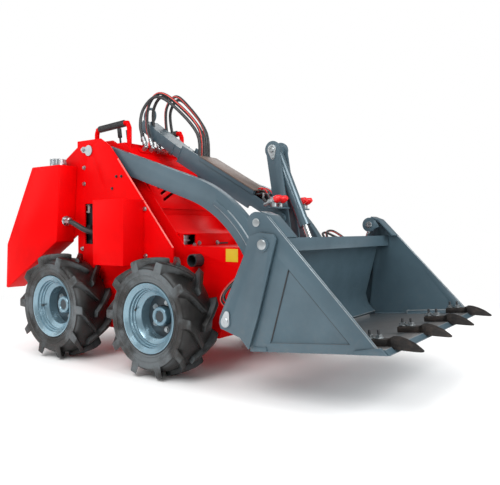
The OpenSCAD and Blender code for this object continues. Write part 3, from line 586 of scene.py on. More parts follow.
def makeBoltTree():   # a washer and a hexagon head on every point, standing along its stored direction
    tree, start, ids = nodeTree("hexBolts", [
        ("Head Size", "NodeSocketFloat", 0.008), ("Head Height", "NodeSocketFloat", 0.006),
        ("Washer Size", "NodeSocketFloat", 0.011)])
    given = start.outputs
    head = addNode(tree, "GeometryNodeMeshCylinder", Vertices=boltForm["sides"], Radius=given["Head Size"],
                   Depth=given["Head Height"])
    washer = addNode(tree, "GeometryNodeMeshCylinder", Vertices=boltForm["washerSides"],
                     Radius=given["Washer Size"], Depth=boltForm["washerDepth"])
    middle = mathNode(tree, "MULTIPLY_ADD", given["Head Height"], 0.5, boltForm["seat"])
    raised = addNode(tree, "ShaderNodeCombineXYZ", Z=middle)
    lift = addNode(tree, "GeometryNodeTransform", Geometry=head.outputs["Mesh"],
                   Translation=raised.outputs[0])
    both = addNode(tree, "GeometryNodeJoinGeometry", Geometry=lift.outputs[0])
    fill(tree, both, Geometry=washer.outputs["Mesh"])
    stored = addNode(tree, "GeometryNodeInputNamedAttribute", Name="outward")
    stored.data_type = "FLOAT_VECTOR"
    aim = addNode(tree, "FunctionNodeAlignRotationToVector", Vector=stored.outputs["Attribute"])
    aim.axis = "Z"
    onPoints = addNode(tree, "GeometryNodeInstanceOnPoints", Points=given["Geometry"],
                       Instance=both.outputs[0], Rotation=aim.outputs["Rotation"])
    endTree(tree, start, onPoints.outputs[0])
    return tree, ids


boltTree = makeBoltTree()


def boltRow(name, body, places, outward, size, look="zincPlate"):   # a direction for each place
    mesh = bpy.data.meshes.new(name)
    mesh.from_pydata([tuple(p) for p in places], [], [])
    attribute = mesh.attributes.new("outward", "FLOAT_VECTOR", "POINT")
    for item, direction in zip(attribute.data, outward):
        item.vector = direction
    size = size / 1000
    piece = runTree(name, mesh, boltTree, look, Head_Size=size, Head_Height=size * boltForm["height"],
                    Washer_Size=size * boltForm["washer"])
    return settle(piece, body, look)


# tyres: a moulded carcass and hooked lugs that alternate from side to side
tyreForm = {
    "carcass": [(154.5, 82.4), (162, 85.4), (170.6, 88.4), (174, 94), (178, 98.5), (184, 99.6), (187, 97.6),
                (196, 101), (206, 104.2), (207.5, 106), (210.5, 106), (212, 105), (224, 106), (234, 106.5),
                (237, 105.6), (238.5, 101), (244, 96), (253, 86), (260, 71), (264, 50), (266, 22),
                (266.5, 0)],
    "lugs": 10, "steps": 100, "lugRound": 0.0035,
    "stations": [(107.6, 226, 281, 0.0, 25, 20), (102, 236, 287, 1.0, 24, 19), (84, 248, 290.5, 4.5, 22, 17),
                 (60, 258, 291.6, 10, 21, 16), (34, 262, 292, 16, 20, 15.5), (10, 263, 292, 21.5, 20, 15.5),
                 (-8, 263, 291.5, 25, 20, 15)],   # across, base radius, top radius, sweep, half widths
}
wheels = {"fr": 2.9, "fl": 3.3, "rr": 3.2, "rl": 3.4}   # where each valve stem stands, in radians


def outSide(tag):   # which way is outwards on a wheel
    return 1 if tag.endswith("l") else -1


def makeCarcass(bm, centre):
    half = tyreForm["carcass"]
    profile = half + [(r, -y) for r, y in half[-2::-1]]
    rings = []
    for k in range(tyreForm["steps"]):
        a = 2 * math.pi * k / tyreForm["steps"]
        ring = [Vector((r * math.cos(a), y, r * math.sin(a))) / 1000 for r, y in profile]
        rings.append([bm.verts.new(centre + p) for p in ring])
    skin(bm, rings, False)


def makeLug(name, side):
    bm = bmesh.new()
    rings = []
    for across, low, high, sweep, wide, narrow in tyreForm["stations"]:
        ring = []
        for radius, reach in ((low, wide), (high, narrow), (high, -narrow), (low, -wide)):
            a = -math.radians(sweep) + reach / radius
            corner = Vector((radius * math.cos(a), side * across, radius * math.sin(a)))
            ring.append(bm.verts.new(corner / 1000))
        rings.append(ring)
    skin(bm, rings)
    return roundEdges(closedPiece(bm, name), tyreForm["lugRound"], 30)


def makeLugTree():   # copies of a near and a far lug round the axle, half a pitch apart
    tree, start, ids = nodeTree("lugRing", [
        ("Count", "NodeSocketInt", tyreForm["lugs"]), ("Near Lug", "NodeSocketObject", None),
        ("Far Lug", "NodeSocketObject", None), ("Axle", "NodeSocketVector", (0, 0, 0))])
    given = start.outputs
    whole = addNode(tree, "GeometryNodeJoinGeometry", Geometry=given["Geometry"])
    pitch = mathNode(tree, "DIVIDE", 2 * math.pi, given["Count"])
    for label, shift in (("Near Lug", 0.0), ("Far Lug", 0.5)):
        lug = addNode(tree, "GeometryNodeObjectInfo", Object=given[label])
        ring = addNode(tree, "GeometryNodePoints", Count=given["Count"], Position=given["Axle"])
        turn = mathNode(tree, "ADD", addNode(tree, "GeometryNodeInputIndex").outputs[0], shift)
        spin = addNode(tree, "ShaderNodeCombineXYZ", Y=mathNode(tree, "MULTIPLY", turn, pitch))
        onPoints = addNode(tree, "GeometryNodeInstanceOnPoints", Points=ring.outputs[0],
                           Instance=lug.outputs["Geometry"], Rotation=spin.outputs[0])
        fill(tree, whole, Geometry=onPoints.outputs[0])
    endTree(tree, start, whole.outputs[0])
    return tree, ids


def makeTyres():
    lugTree = makeLugTree()
    lugs = {side: makeLug("lug_shape_%d" % side, side) for side in (1, -1)}
    for tag in wheels:
        centre = jointAt["wheel_%s_spin" % tag]
        outer = outSide(tag)
        bm = bmesh.new()
        makeCarcass(bm, centre)
        bmesh.ops.recalc_face_normals(bm, faces=bm.faces)
        piece = runTree("lug_tyre_" + tag, meshFrom(bm, "lug_tyre_" + tag), lugTree, "tyreRubber", 38,
                        Near_Lug=lugs[outer], Far_Lug=lugs[-outer], Axle=tuple(centre))
        settle(piece, "wheel_" + tag, "tyreRubber", "tyre_" + tag)
    for lug in lugs.values():
        bpy.data.objects.remove(lug)


makeTyres()
print("tyres made")


# wheel trim: a dark disc plate, a hub cap, stepped rim wells, the wheel bolts and a valve stem
wheelTrim = {
    "discFace": 454.0, "disc": [(0, 110), (3, 110), (5, 107), (5, 52), (0, 50)], "hubFace": 488.0,
    "hub": [(-2, 47), (4, 47), (7, 44), (7, 31), (4, 28), (2, 27)],
    "hubCentre": [(1, 26.6), (2.6, 26.6), (2.6, 12)],
    "steps": [(562, 148.6), (560, 145.4), (557.5, 144.4), (549.5, 144), (547, 142.4), (545.6, 139),
              (543, 137.6), (536, 137.2), (533.6, 135.6), (532.2, 132), (529.6, 130.6), (525.6, 130),
              (523.4, 127.4), (519, 121), (514, 112), (511.5, 107.5), (509, 106.4), (505, 112), (528, 149),
              (556, 150)],
    "bolts": 5, "boltCircle": 140.0, "boltSize": 11.0, "boltSeat": 6.0,
    "stemFace": 515.0, "stemRadius": 140.0, "stemLean": (0.75, 0.6),
    "stem": [(0, 9), (6, 8), (10, 4.5), (30, 4), (31, 5.5), (40, 5.5), (42, 3)],
}


def makeWheelTrim():
    for tag, turn in wheels.items():
        body = "wheel_" + tag
        centre = jointAt["wheel_%s_spin" % tag]
        axle = Vector((centre.x, 0, centre.z))
        outer = Vector((0, outSide(tag), 0))
        face, hub, root = (axle + outer * wheelTrim[k] / 1000 for k in ("discFace", "hubFace", "stemFace"))
        bm = bmesh.new()
        latheInto(bm, wheelTrim["disc"], face, outer, 64)
        latheInto(bm, wheelTrim["hubCentre"], hub, outer, 40)
        fitted(bm, "hub_plate_" + tag, body, "discPaint")
        bm = bmesh.new()
        latheInto(bm, wheelTrim["hub"], hub, outer, 48)
        loopInto(bm, wheelTrim["steps"], axle, outer)
        fitted(bm, "rim_steps_" + tag, body, "rimPaint")
        places = []
        for k in range(wheelTrim["bolts"]):   # on the disc's own holes
            a = 2 * math.pi * k / wheelTrim["bolts"]
            out = Vector((math.cos(a), 0, math.sin(a))) * wheelTrim["boltCircle"] / 2
            places.append(face + (outer * wheelTrim["boltSeat"] + out) / 1000)
        boltRow("wheel_bolts_" + tag, body, places, [outer] * len(places), wheelTrim["boltSize"])
        bm = bmesh.new()
        ray = Vector((math.cos(turn), 0, math.sin(turn)))
        outward, inward = wheelTrim["stemLean"]
        foot = root + ray * wheelTrim["stemRadius"] / 1000
        latheInto(bm, wheelTrim["stem"], foot, outer * outward - ray * inward, 16)
        fitted(bm, "valve_stem_" + tag, body, "gripRubber")


makeWheelTrim()
print("wheel trim made")


# hoses: five loops from the valve face over the lift pivot into the beam, and one from the tank
hoseForm = {
    "diameter": 18, "ports": (-135, -79, -22, 87, 135), "tops": (-100, -74, -48, 60, 84),
    "ins": (-40, -20, 0, 20, 40), "rise": (0, 24, 10, 30, 14), "striped": (1, 3),
    "start": (-89.1, 1232.2), "over": (234.9, 1263.0), "into": (251.2, 1096.2),
    "bendFrom": (-60, 0, 1400), "bendTo": (240, 0, 1250),
    "ferrule": [(-7, 9.2), (-7, 13.6), (2, 13.6), (3, 12.2), (8, 12.2), (9, 13.3), (12, 13.3), (13, 12.2),
                (18, 12.2), (19, 13.3), (22, 13.3), (23, 12.2), (29, 12.2), (31, 11.6), (33, 9.2)],
}
tankLine = {
    "diameter": 32, "route": [(-474, -405, 770), (-440, -405, 768), (-395, -395, 750), (-340, -366, 716),
                              (-300, -320, 698), (-290, -246, 694)],
    "fitting": [(-2, 30), (10, 30), (12, 27), (12, 21), (30, 21), (31, 19.5), (36, 19.5), (37, 21), (42, 21),
                (43, 19.5), (48, 19.5), (50, 16.2)],
}


def loopRoute(i):
    x, z = hoseForm["start"]
    port, top, end, rise = (hoseForm[k][i] for k in ("ports", "tops", "ins", "rise"))
    over, into = hoseForm["over"], hoseForm["into"]
    return [at(x, port, z), at(x - 36, port, z + 96), at(x - 26, (port + top) / 2, z + 200 + rise),
            at(x + 60, top, z + 262 + rise), at(x + 170, (top + end) / 2, z + 200 + rise),
            at(over[0], end, over[1] + rise), at(into[0], end, into[1])]


def hosePiece(name, path, diameter, look):
    bm = bmesh.new()
    around = bm.verts.layers.float.new("around")
    tubeInto(bm, path, diameter / 2000, 20, around)
    piece = closedPiece(bm, name, 40)
    piece.data.materials.append(looks[look])
    return piece


def makeHoses():
    ferrules = bmesh.new()
    for i in range(len(hoseForm["ports"])):
        path = smoothPath(loopRoute(i), 6)
        look = "stripedHose" if i in hoseForm["striped"] else "plainHose"
        piece = hosePiece("hose_loop_%d" % (i + 1), path, hoseForm["diameter"], look)
        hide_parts("hose_loops")
        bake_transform(piece)
        latheInto(ferrules, hoseForm["ferrule"], path[0], path[1] - path[0], 24)
    fitted(ferrules, "hose_ferrules", "chassis", "zincPlate")


def makeTankLine():
    path = smoothPath([at(*p) for p in tankLine["route"]], 5)
    piece = hosePiece("tank_line", path, tankLine["diameter"], "plainHose")
    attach(piece, "chassis")
    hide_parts("tank_hose")
    bm = bmesh.new()
    latheInto(bm, tankLine["fitting"], path[0], path[1] - path[0])
    fitted(bm, "tank_fitting", "chassis", "zincPlate")


makeHoses()
makeTankLine()
print("hoses laid")


# grab handles as round bent tubes, with ribbed grips between two points of the route
handleForm = {"y": 222, "radius": 14, "grip": (3, 4), "gripRadius": 20, "gripEnd": 14.5, "ribs": 26,
              "ribShare": 0.55, "ribDepth": 1.6, "ribSlope": 1.0,
              "route": [(-408, 1200), (-408, 1290), (-400, 1312), (-378, 1322), (-160, 1336), (-136, 1328),
                        (-124, 1306), (-124, 1176)]}


def makeHandles():
    tubes, grips = bmesh.new(), bmesh.new()
    radius, slope = handleForm["gripRadius"], handleForm["ribSlope"]
    for side in bothSides:
        places = [at(x, side * handleForm["y"], z) for x, z in handleForm["route"]]
        path = [places[0]] + smoothPath(places[1:-1], 5) + [places[-1]]
        tubeInto(tubes, path, handleForm["radius"] / 1000, 24)
        start, end = (places[k] for k in handleForm["grip"])
        pitch = (end - start).length * 1000 / handleForm["ribs"]
        profile = [(0, handleForm["gripEnd"])]
        for k in range(handleForm["ribs"]):
            a, b = pitch * k, pitch * (k + handleForm["ribShare"])
            profile += [(a, radius), (b, radius), (b + slope, radius - handleForm["ribDepth"])]
        profile.append((pitch * handleForm["ribs"], handleForm["gripEnd"]))
        latheInto(grips, profile, start, end - start)
    fitted(tubes, "handle_tubes", "chassis", "redPaint", "grab_handles")
    fitted(grips, "handle_ribs", "chassis", "gripRubber", "handle_grips")


makeHandles()
print("handles made")


# the valve face: a red strip with five zinc elbows, where the hoses start
valveForm = {"port": (-104, 1180), "lean": 40.5, "turnUp": 110, "halfWide": 170, "halfTall": 17, "thick": 8,
             "base": [(4, 12), (5, 13.5), (26, 13.5), (27, 11), (34, 10)], "bend": 34, "bendRadius": 12.8,
             "pipe": [(0, 10), (15, 10), (16, 14.5), (29, 14.5), (30, 10.5), (38, 10)]}


def makeValveFace():
    lean, up = math.radians(valveForm["lean"]), math.radians(valveForm["turnUp"])
    out = Vector((math.cos(lean), 0, math.sin(lean)))
    rise = Vector((math.cos(up), 0, math.sin(up)))
    x, z = valveForm["port"]

    def onFace(outward, y, along):
        return at(x, y, z) + (out * outward + Vector((-out.z, 0, out.x)) * along) / 1000

    bm = bmesh.new()
    strip = boxed(0, valveForm["thick"], -valveForm["halfTall"], valveForm["halfTall"])
    slabInto(bm, onFace, strip, -valveForm["halfWide"], valveForm["halfWide"])
    fitted(bm, "valve_strip", "chassis", "redPaint", "valve_bank", edge=plateEdge)
    bm = bmesh.new()
    for y in hoseForm["ports"]:
        latheInto(bm, valveForm["base"], at(x, y, z), out, 6)
        bend = onFace(valveForm["bend"], y, 0)
        bmesh.ops.create_uvsphere(bm, u_segments=20, v_segments=12, radius=valveForm["bendRadius"] / 1000,
                                  matrix=Matrix.Translation(bend))
        latheInto(bm, valveForm["pipe"], bend, rise, 20)
    fitted(bm, "valve_elbows", "chassis", "zincPlate", "valve_bank")


makeValveFace()
print("valve face made")


# pin heads and lock plates on the bucket, placed from the tilt pin along the bucket's own axes
bucketForm = {"pin": (900, 395), "pitch": 5.7, "hinge": (203, 244), "jawPin": (170, 336), "base": (-14, -63),
              "lockTip": (-2, -30), "lockRadii": (22, 13), "lockSpread": 75, "lockY": (622.2, 625.4),
              "fixedHeads": [("hinge", 621.5, 21, 7.9), ("base", 622, 18, 6)],   # place, out, radius, height
              "jawHead": (602.5, 17, 3.5), "jawInnerHead": (510.5, 18, 6)}


def inBucket(x, y, z):
    a = math.radians(bucketForm["pitch"])
    px, pz = bucketForm["pin"]
    return at(px + x * math.cos(a) - z * math.sin(a), y, pz + x * math.sin(a) + z * math.cos(a))


pinShape = [(0, 1), (0.7, 1), (1, 0.86), (1, 0.34), (0.85, 0.30)]   # shares of a head's height and radius


def pinHead(bm, centre, outward, radius, height):
    latheInto(bm, [(height * up, radius * out) for up, out in pinShape], centre, outward, 40)


def lockOutline(base, tip, radii, spread):   # a round end on the pin, drawn out to a smaller one on the bolt
    lean = math.atan2(tip[1] - base[1], tip[0] - base[0])
    outline = []
    for (x, z), radius, low, high in ((base, radii[0], spread, 360 - spread), (tip, radii[1], -75, 75)):
        angles = [lean + math.radians(a) for a in range(low, high + 1, 15)]
        outline += [(x + radius * math.cos(a), z + radius * math.sin(a)) for a in angles]
    return outline


def makeBucketTrim():
    fixed, moving = bmesh.new(), bmesh.new()
    lock = lockOutline(*[bucketForm[k] for k in ("base", "lockTip", "lockRadii", "lockSpread")])
    jx, jz = bucketForm["jawPin"]
    for side in bothSides:
        outward = Vector((0, side, 0))
        for name, out, radius, height in bucketForm["fixedHeads"]:
            x, z = bucketForm[name]
            pinHead(fixed, inBucket(x, side * out, z), outward, radius, height)
        for name, way in (("jawHead", 1), ("jawInnerHead", -1)):
            out, radius, height = bucketForm[name]
            pinHead(moving, inBucket(jx, side * out, jz), outward * way, radius, height)
        slabInto(fixed, inBucket, lock, *[side * y for y in bucketForm["lockY"]])
    fitted(fixed, "cheek_pin_heads", "bucket", "zincPlate")
    fitted(moving, "jaw_pin_heads", "bucket_jaw", "zincPlate")


# a cast tooth: sections of (along, half width, top, bottom, rib height), ribbed on its head
toothForm = {
    "sections": [(560, 22, 0, -24, 0), (563, 24, 3, -24, 0), (640, 24, 3, -24, 0), (652, 19, 4, -22, 1),
                 (662, 22, 8, -24, 2), (670, 29, 12, -28, 5), (684, 30, 10, -33, 6), (712, 26, 1, -37, 6),
                 (744, 19, -14, -41, 4.5), (768, 11, -31, -44, 2), (777.5, 5, -38, -44, 0)],
    "across": (-1, -0.72, -0.46, -0.22, 0, 0.22, 0.46, 0.72, 1), "under": (1, 0.5, -0.5, -1), "crown": 0.12,
    "places": (-510, -170, 170, 510), "top": -142, "bolts": (578, 614), "boltSeat": 4, "nutSize": 13.5,
    "stud": [(0, 5.5), (28, 5.5), (30, 4)],
}


def makeTeeth():
    bm, studs = bmesh.new(), bmesh.new()
    up = (inBucket(0, 0, 100) - inBucket(0, 0, 0)).normalized()
    top = toothForm["top"]
    nuts = []
    for y in toothForm["places"]:
        rings = []
        for x, half, high, low, rib in toothForm["sections"]:
            fall = toothForm["crown"] * half
            ring = [inBucket(x, y + half * t, top + high - rib * (k % 2) - fall * abs(t))
                    for k, t in enumerate(toothForm["across"])]
            ring += [inBucket(x, y + half * t, top + low) for t in toothForm["under"]]
            rings.append([bm.verts.new(p) for p in ring])
        skin(bm, rings)
        for x in toothForm["bolts"]:
            nuts.append(inBucket(x, y, top + toothForm["boltSeat"]))
            latheInto(studs, toothForm["stud"], nuts[-1], up, 14)
    settle(roundEdges(closedPiece(bm, "cast_teeth"), plateEdge, 40), "bucket_jaw", "castIron", "teeth")
    fitted(studs, "tooth_studs", "bucket_jaw", "darkPaint")
    boltRow("tooth_nuts", "bucket_jaw", nuts, [up] * len(nuts), toothForm["nutSize"])


makeBucketTrim()
makeTeeth()
print("bucket trimmed")


# lids and lips of the hose beam, placed along its front run from the joggle
beamForm = {"rear": (-196, 1357), "joggle": (66, 1185), "fall": 28.96, "lid": (24, 29.5), "halfGap": 54.5,
            "bridge": (-8, 66), "lip": (215, 640), "lipDrop": (32, 50), "lipY": (64.5, 71.8)}


def beamPlace(along, y, up):
    a = math.radians(beamForm["fall"])
    x, z = beamForm["joggle"]
    return at(x + along * math.cos(a) + up * math.sin(a), y, z - along * math.sin(a) + up * math.cos(a))


def makeBeamLids():   # they close the rear run, bridge the joggle and fold down the cover's sides
    (x0, z0), (x1, z1) = beamForm["rear"], beamForm["joggle"]
    a = math.atan2(z1 - z0, x1 - x0)
    low, high = beamForm["lid"]
    gap = beamForm["halfGap"]
    ends = ((x0, z0, low), (x1, z1, low), (x1, z1, high), (x0, z0, high))
    bm = bmesh.new()
    slabInto(bm, at, [(x - up * math.sin(a), z + up * math.cos(a)) for x, z, up in ends], -gap, gap)
    slabInto(bm, beamPlace, boxed(*beamForm["bridge"], low, high), -gap, gap)
    for side in bothSides:
        outline = boxed(*beamForm["lip"], *beamForm["lipDrop"])
        slabInto(bm, beamPlace, outline, *[side * y for y in beamForm["lipY"]])
    fitted(bm, "beam_lids", "lift_arms", "slatePaint")


# weld beads: overlapping drops along the seams
weldForm = {"spacing": 0.0055, "bead": 0.0046, "vary": (0.85, 1.12), "seed": 0, "tube": (843.6, 558),
            "tubeRadius": 51, "armIn": 261, "mast": (32, 44), "mastArc": (58, 148, 16), "beamSeams": (2, 60),
            "beamFace": 62.4, "beamHeights": (-29, 0, 29), "armBend": (209.2, 262.6), "armOut": 312.8,
            "armBead": [(687, 33, 57), (713, 31, 50)], "floorTop": -173,
            "jawSeams": [(586.5, (130, 250, 324)), (550.5, (332, 568))]}   # distance out, places along


def makeWeldTree():
    tree, start, ids = nodeTree("weldBead", [("Spacing", "NodeSocketFloat", 0.005),
                                             ("Bead Size", "NodeSocketFloat", 0.005)])
    given = start.outputs
    curve = addNode(tree, "GeometryNodeMeshToCurve", Mesh=given["Geometry"])
    dots = addNode(tree, "GeometryNodeCurveToPoints", Curve=curve.outputs[0])
    dots.mode = "LENGTH"
    fill(tree, dots, Length=given["Spacing"])
    drop = addNode(tree, "GeometryNodeMeshUVSphere", Segments=8, Rings=6, Radius=given["Bead Size"])
    vary = addNode(tree, "FunctionNodeRandomValue", Seed=weldForm["seed"])
    vary.inputs[2].default_value, vary.inputs[3].default_value = weldForm["vary"]   # its plain number range
    onPoints = addNode(tree, "GeometryNodeInstanceOnPoints", Points=dots.outputs["Points"],
                       Instance=drop.outputs["Mesh"], Scale=vary.outputs[1])
    endTree(tree, start, onPoints.outputs[0])
    return tree, ids


weldTree = makeWeldTree()


def weldSeams(name, body, seams, look):
    mesh = bpy.data.meshes.new(name)
    verts, edges = [], []
    for seam in seams:
        edges += [(len(verts) + k, len(verts) + k + 1) for k in range(len(seam) - 1)]
        verts += [tuple(p) for p in seam]
    mesh.from_pydata(verts, edges, [])
    piece = runTree(name, mesh, weldTree, look, 60, Spacing=weldForm["spacing"], Bead_Size=weldForm["bead"])
    return settle(piece, body, look)


def ringSeam(centre, radius, y, low=0, high=360, steps=40):
    x, z = centre
    turns = [math.radians(low + (high - low) * k / steps) for k in range(steps + 1)]
    return [at(x + radius * math.cos(a), y, z + radius * math.sin(a)) for a in turns]


def makeWelds():
    tube, radius = weldForm["tube"], weldForm["tubeRadius"]
    seams = []
    for side in bothSides:
        seams.append(ringSeam(tube, radius, side * weldForm["armIn"]))
        seams += [ringSeam(tube, radius, side * y, *weldForm["mastArc"]) for y in weldForm["mast"]]
    for side in bothSides:
        y = side * weldForm["beamFace"]
        seams += [[beamPlace(along, y, up) for up in weldForm["beamHeights"]]
                  for along in weldForm["beamSeams"]]
    weldSeams("arm_welds", "lift_arms", seams, "slatePaint")
    # the arm bead's edges: weld drops in the pale worn-edge finish, partly a painted highlight along the fold
    seams = [ringSeam(weldForm["armBend"], reach, side * weldForm["armOut"], low, high, 30)
             for side in bothSides for reach, low, high in weldForm["armBead"]]
    weldSeams("arm_bead_welds", "lift_arms", seams, "wornEdge")
    seams = [[inBucket(x, side * out, weldForm["floorTop"]) for x in run]
             for out, run in weldForm["jawSeams"] for side in bothSides]
    weldSeams("jaw_welds", "bucket_jaw", seams, "slatePaint")


makeBeamLids()
makeWelds()
print("welds laid")


# bolts and studs on the tower plates, the side boxes and the hood's front
towerBolts = {"face": 343.4, "bolts": [(-377, 1080), (-377, 986), (-397, 607), (127, 829), (133, 577)],
              "studs": [(-98, 1015), (-57, 1014), (-133, 949)], "lockBolt": (-380, 349.4, 1186),
              "hoodFace": 291.4, "hoodBolts": [(-91, 644), (68, 644), (-132, 634)], "boltSize": 9.5,
              "studSize": 6}


def makeTowerBolts():
    face = towerBolts["face"]
    bolts = [(x, face, z) for x, z in towerBolts["bolts"]] + [towerBolts["lockBolt"]]
    studs = [(x, face, z) for x, z in towerBolts["studs"]]
    places = [at(x, side * y, z) for side in bothSides for x, y, z in bolts]
    outward = [Vector((0, side, 0)) for side in bothSides for bolt in bolts]
    places += [at(towerBolts["hoodFace"], y, z) for y, z in towerBolts["hoodBolts"]]
    outward += [Vector((1, 0, 0))] * len(towerBolts["hoodBolts"])
    boltRow("tower_bolts", "chassis", places, outward, towerBolts["boltSize"])
    places = [at(x, side * y, z) for side in bothSides for x, y, z in studs]
    outward = [Vector((0, side, 0)) for side in bothSides for stud in studs]
    boltRow("tower_studs", "chassis", places, outward, towerBolts["studSize"], "darkPaint")


# the tilt cylinder's upper pin on the mast, held by lock plates
mastLock = {"pin": (745, 1130), "tip": (751, 1088), "radii": (25, 11), "spread": 65, "face": 44, "thick": 5,
            "headRadius": 16.5, "headHeight": 14, "boltFace": 50.4, "boltSize": 6.5}


def makeMastLock():
    (px, pz), (tx, tz), face = mastLock["pin"], mastLock["tip"], mastLock["face"]
    plates, heads = bmesh.new(), bmesh.new()
    outline = lockOutline(mastLock["pin"], mastLock["tip"], mastLock["radii"], mastLock["spread"])
    outward = [Vector((0, side, 0)) for side in bothSides]
    for side, out in zip(bothSides, outward):
        slabInto(plates, at, outline, side * face, side * (face + mastLock["thick"]))
        pinHead(heads, at(px, side * face, pz), out, mastLock["headRadius"], mastLock["headHeight"])
    fitted(plates, "mast_lock_plates", "lift_arms", "zincPlate", edge=0.001)
    fitted(heads, "mast_pin_heads", "lift_arms", "zincPlate")
    places = [at(tx, side * mastLock["boltFace"], tz) for side in bothSides]
    boltRow("mast_lock_bolts", "lift_arms", places, outward, mastLock["boltSize"])


# hose couplers on the cross tube, with the lines and wires that come out of the cover
couplerForm = {
    "foot": (826, 830), "out": (95, 150), "tip": 70, "middle": 32, "post": [(0, 15), (26, 15), (30, 12)],
    "body": [(-30, 10), (-30, 15.5), (-15, 15.5), (-13, 18.6), (-4, 18.6), (-3, 17), (2, 17), (3, 18.6),
             (9, 18.6)],
    "cap": [(8, 15), (10, 18.9), (24, 18.9), (27, 17.5), (38, 14), (44, 11), (44, 4)],
    "ferrule": [(28, 9), (29, 10.5), (44, 10.5), (45, 9.4), (58, 9.4), (60, 7)],
    "wireRadius": 3.2,
    "wires": [[(606, -16, 908), (648, -24, 934), (690, -34, 930), (722, -42, 896), (758, -40, 846)],
              [(604, 8, 910), (640, -2, 926), (684, -14, 934), (728, -28, 916), (762, -37, 872)]],
    "lineRadius": 6.5, "lineStarts": (20, 40), "linePlaces": [(600, 917), (640, 906), (685, 904)],
    "lineMiddle": (727, 898), "lineEnds": [(765, 868), (797.5, 852)],
    "lineLooks": ("plainHose", "gripRubber"),
}


def makeCouplers():
    metal, caps = bmesh.new(), bmesh.new()
    tip = math.radians(couplerForm["tip"])
    aim = Vector((math.sin(tip), 0, math.cos(tip)))
    x, z = couplerForm["foot"]
    for y in couplerForm["out"]:
        for side in bothSides:
            foot, middle = at(x, side * y, z), at(x, side * y, z + couplerForm["middle"])
            latheInto(metal, couplerForm["post"], foot, upright, 28)
            latheInto(metal, couplerForm["body"], middle, aim, 28)
            latheInto(metal, couplerForm["ferrule"], middle, -aim, 20)
            latheInto(caps, couplerForm["cap"], middle, aim, 28)
    fitted(metal, "coupler_bodies", "lift_arms", "zincPlate", "couplers")
    fitted(caps, "coupler_caps", "lift_arms", "redPlastic", "couplers")


def makeCouplerLines():
    bm = bmesh.new()
    for route in couplerForm["wires"]:
        tubeInto(bm, smoothPath([at(*p) for p in route], 6), couplerForm["wireRadius"] / 1000, 10)
    fitted(bm, "signal_wires", "lift_arms", "redPlastic")
    mx, mz = couplerForm["lineMiddle"]
    for kind, look in enumerate(couplerForm["lineLooks"]):
        bm = bmesh.new()
        for side in bothSides:
            inner, outer = side * couplerForm["lineStarts"][kind], side * couplerForm["out"][kind]
            route = [at(x, inner, z) for x, z in couplerForm["linePlaces"]]
            route.append(at(mx, (inner + outer) / 2, mz))
            route += [at(x, outer, z) for x, z in couplerForm["lineEnds"]]
            tubeInto(bm, smoothPath(route, 6), couplerForm["lineRadius"] / 1000, 14)
        fitted(bm, "coupler_lines_%d" % kind, "lift_arms", look)


# short lines to the jaw cylinders; each end goes into the bucket's back
bucketHoses = {"diameter": 12, "routes": [
    ("stripedHose", [(954, -507, 557), (906, -512, 532), (852, -522, 490), (812, -530, 446),
                     (798, -532, 408), (818, -522, 380), (856, -512, 376), (886, -507, 391)]),
    ("plainHose", [(950, -507, 540), (912, -516, 518), (872, -532, 488), (836, -544, 450),
                   (824, -544, 422), (840, -534, 400), (890, -507, 404)]),
    ("plainHose", [(1056, 40, 664), (1008, 44, 676), (978, 70, 698), (978, 112, 702), (1008, 140, 684),
                   (1056, 146, 664)]),
    ("stripedHose", [(1056, 62, 656), (1012, 66, 672), (988, 96, 706), (990, 150, 712), (1014, 186, 692),
                     (1056, 194, 660)])]}


def makeBucketHoses():
    for i, (look, route) in enumerate(bucketHoses["routes"]):
        path = smoothPath([at(*p) for p in route], 6)
        piece = hosePiece("bucket_hose_%d" % (i + 1), path, bucketHoses["diameter"], look)
        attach(piece, "bucket")


# painted highlights along the tower plates' folded edges, worn edges with a painted highlight on the jaw and the
# lip, painted shade lines along the recesses in the jaw's sides and wear pads under its front corners; radii in mm
edgeForm = {
    "tower": [(-88, 339.5, 1113), (329, 339.5, 624)], "towerRadius": 4.5,
    "pads": [([(556, -185.5), (682, -185.5), (660, -158), (556, -170)], (602, 611)),
             ([(100, -185.5), (172, -185.5), (172, -166), (108, -166)], (602, 606))],
    "shadeLines": [([(300.5, 134), (194, -140)], 4.2), ([(303.5, 137), (535, -146)], 2.2)], "shadeLineY": 598.0,
    "blockRadius": 1.6, "block": [[(330, 551.5, -156), (570, 551.5, -156)],
                                  [(330, 551.5, -172), (330, 551.5, -156), (330, 586, -156)],
                                  [(570, 551.5, -172), (570, 551.5, -156), (570, 586, -156)]],
    "jawRadius": 1.7, "jawY": (601.9, 588.1), "jawDiagonal": [(226, 355), (642, -167)],
    "floor": [(671, -166.6, 600), (689, -185, 600)], "lip": (130, -157, 575), "lipRadius": 2.0,
}


def edgeInto(bm, place, route, radius, count, side=1):
    tubeInto(bm, [place(x, side * y, z) for x, y, z in route], radius / 1000, count)


def acrossBucket(x, z, half):
    return [(x, -half, z), (x, half, z)]


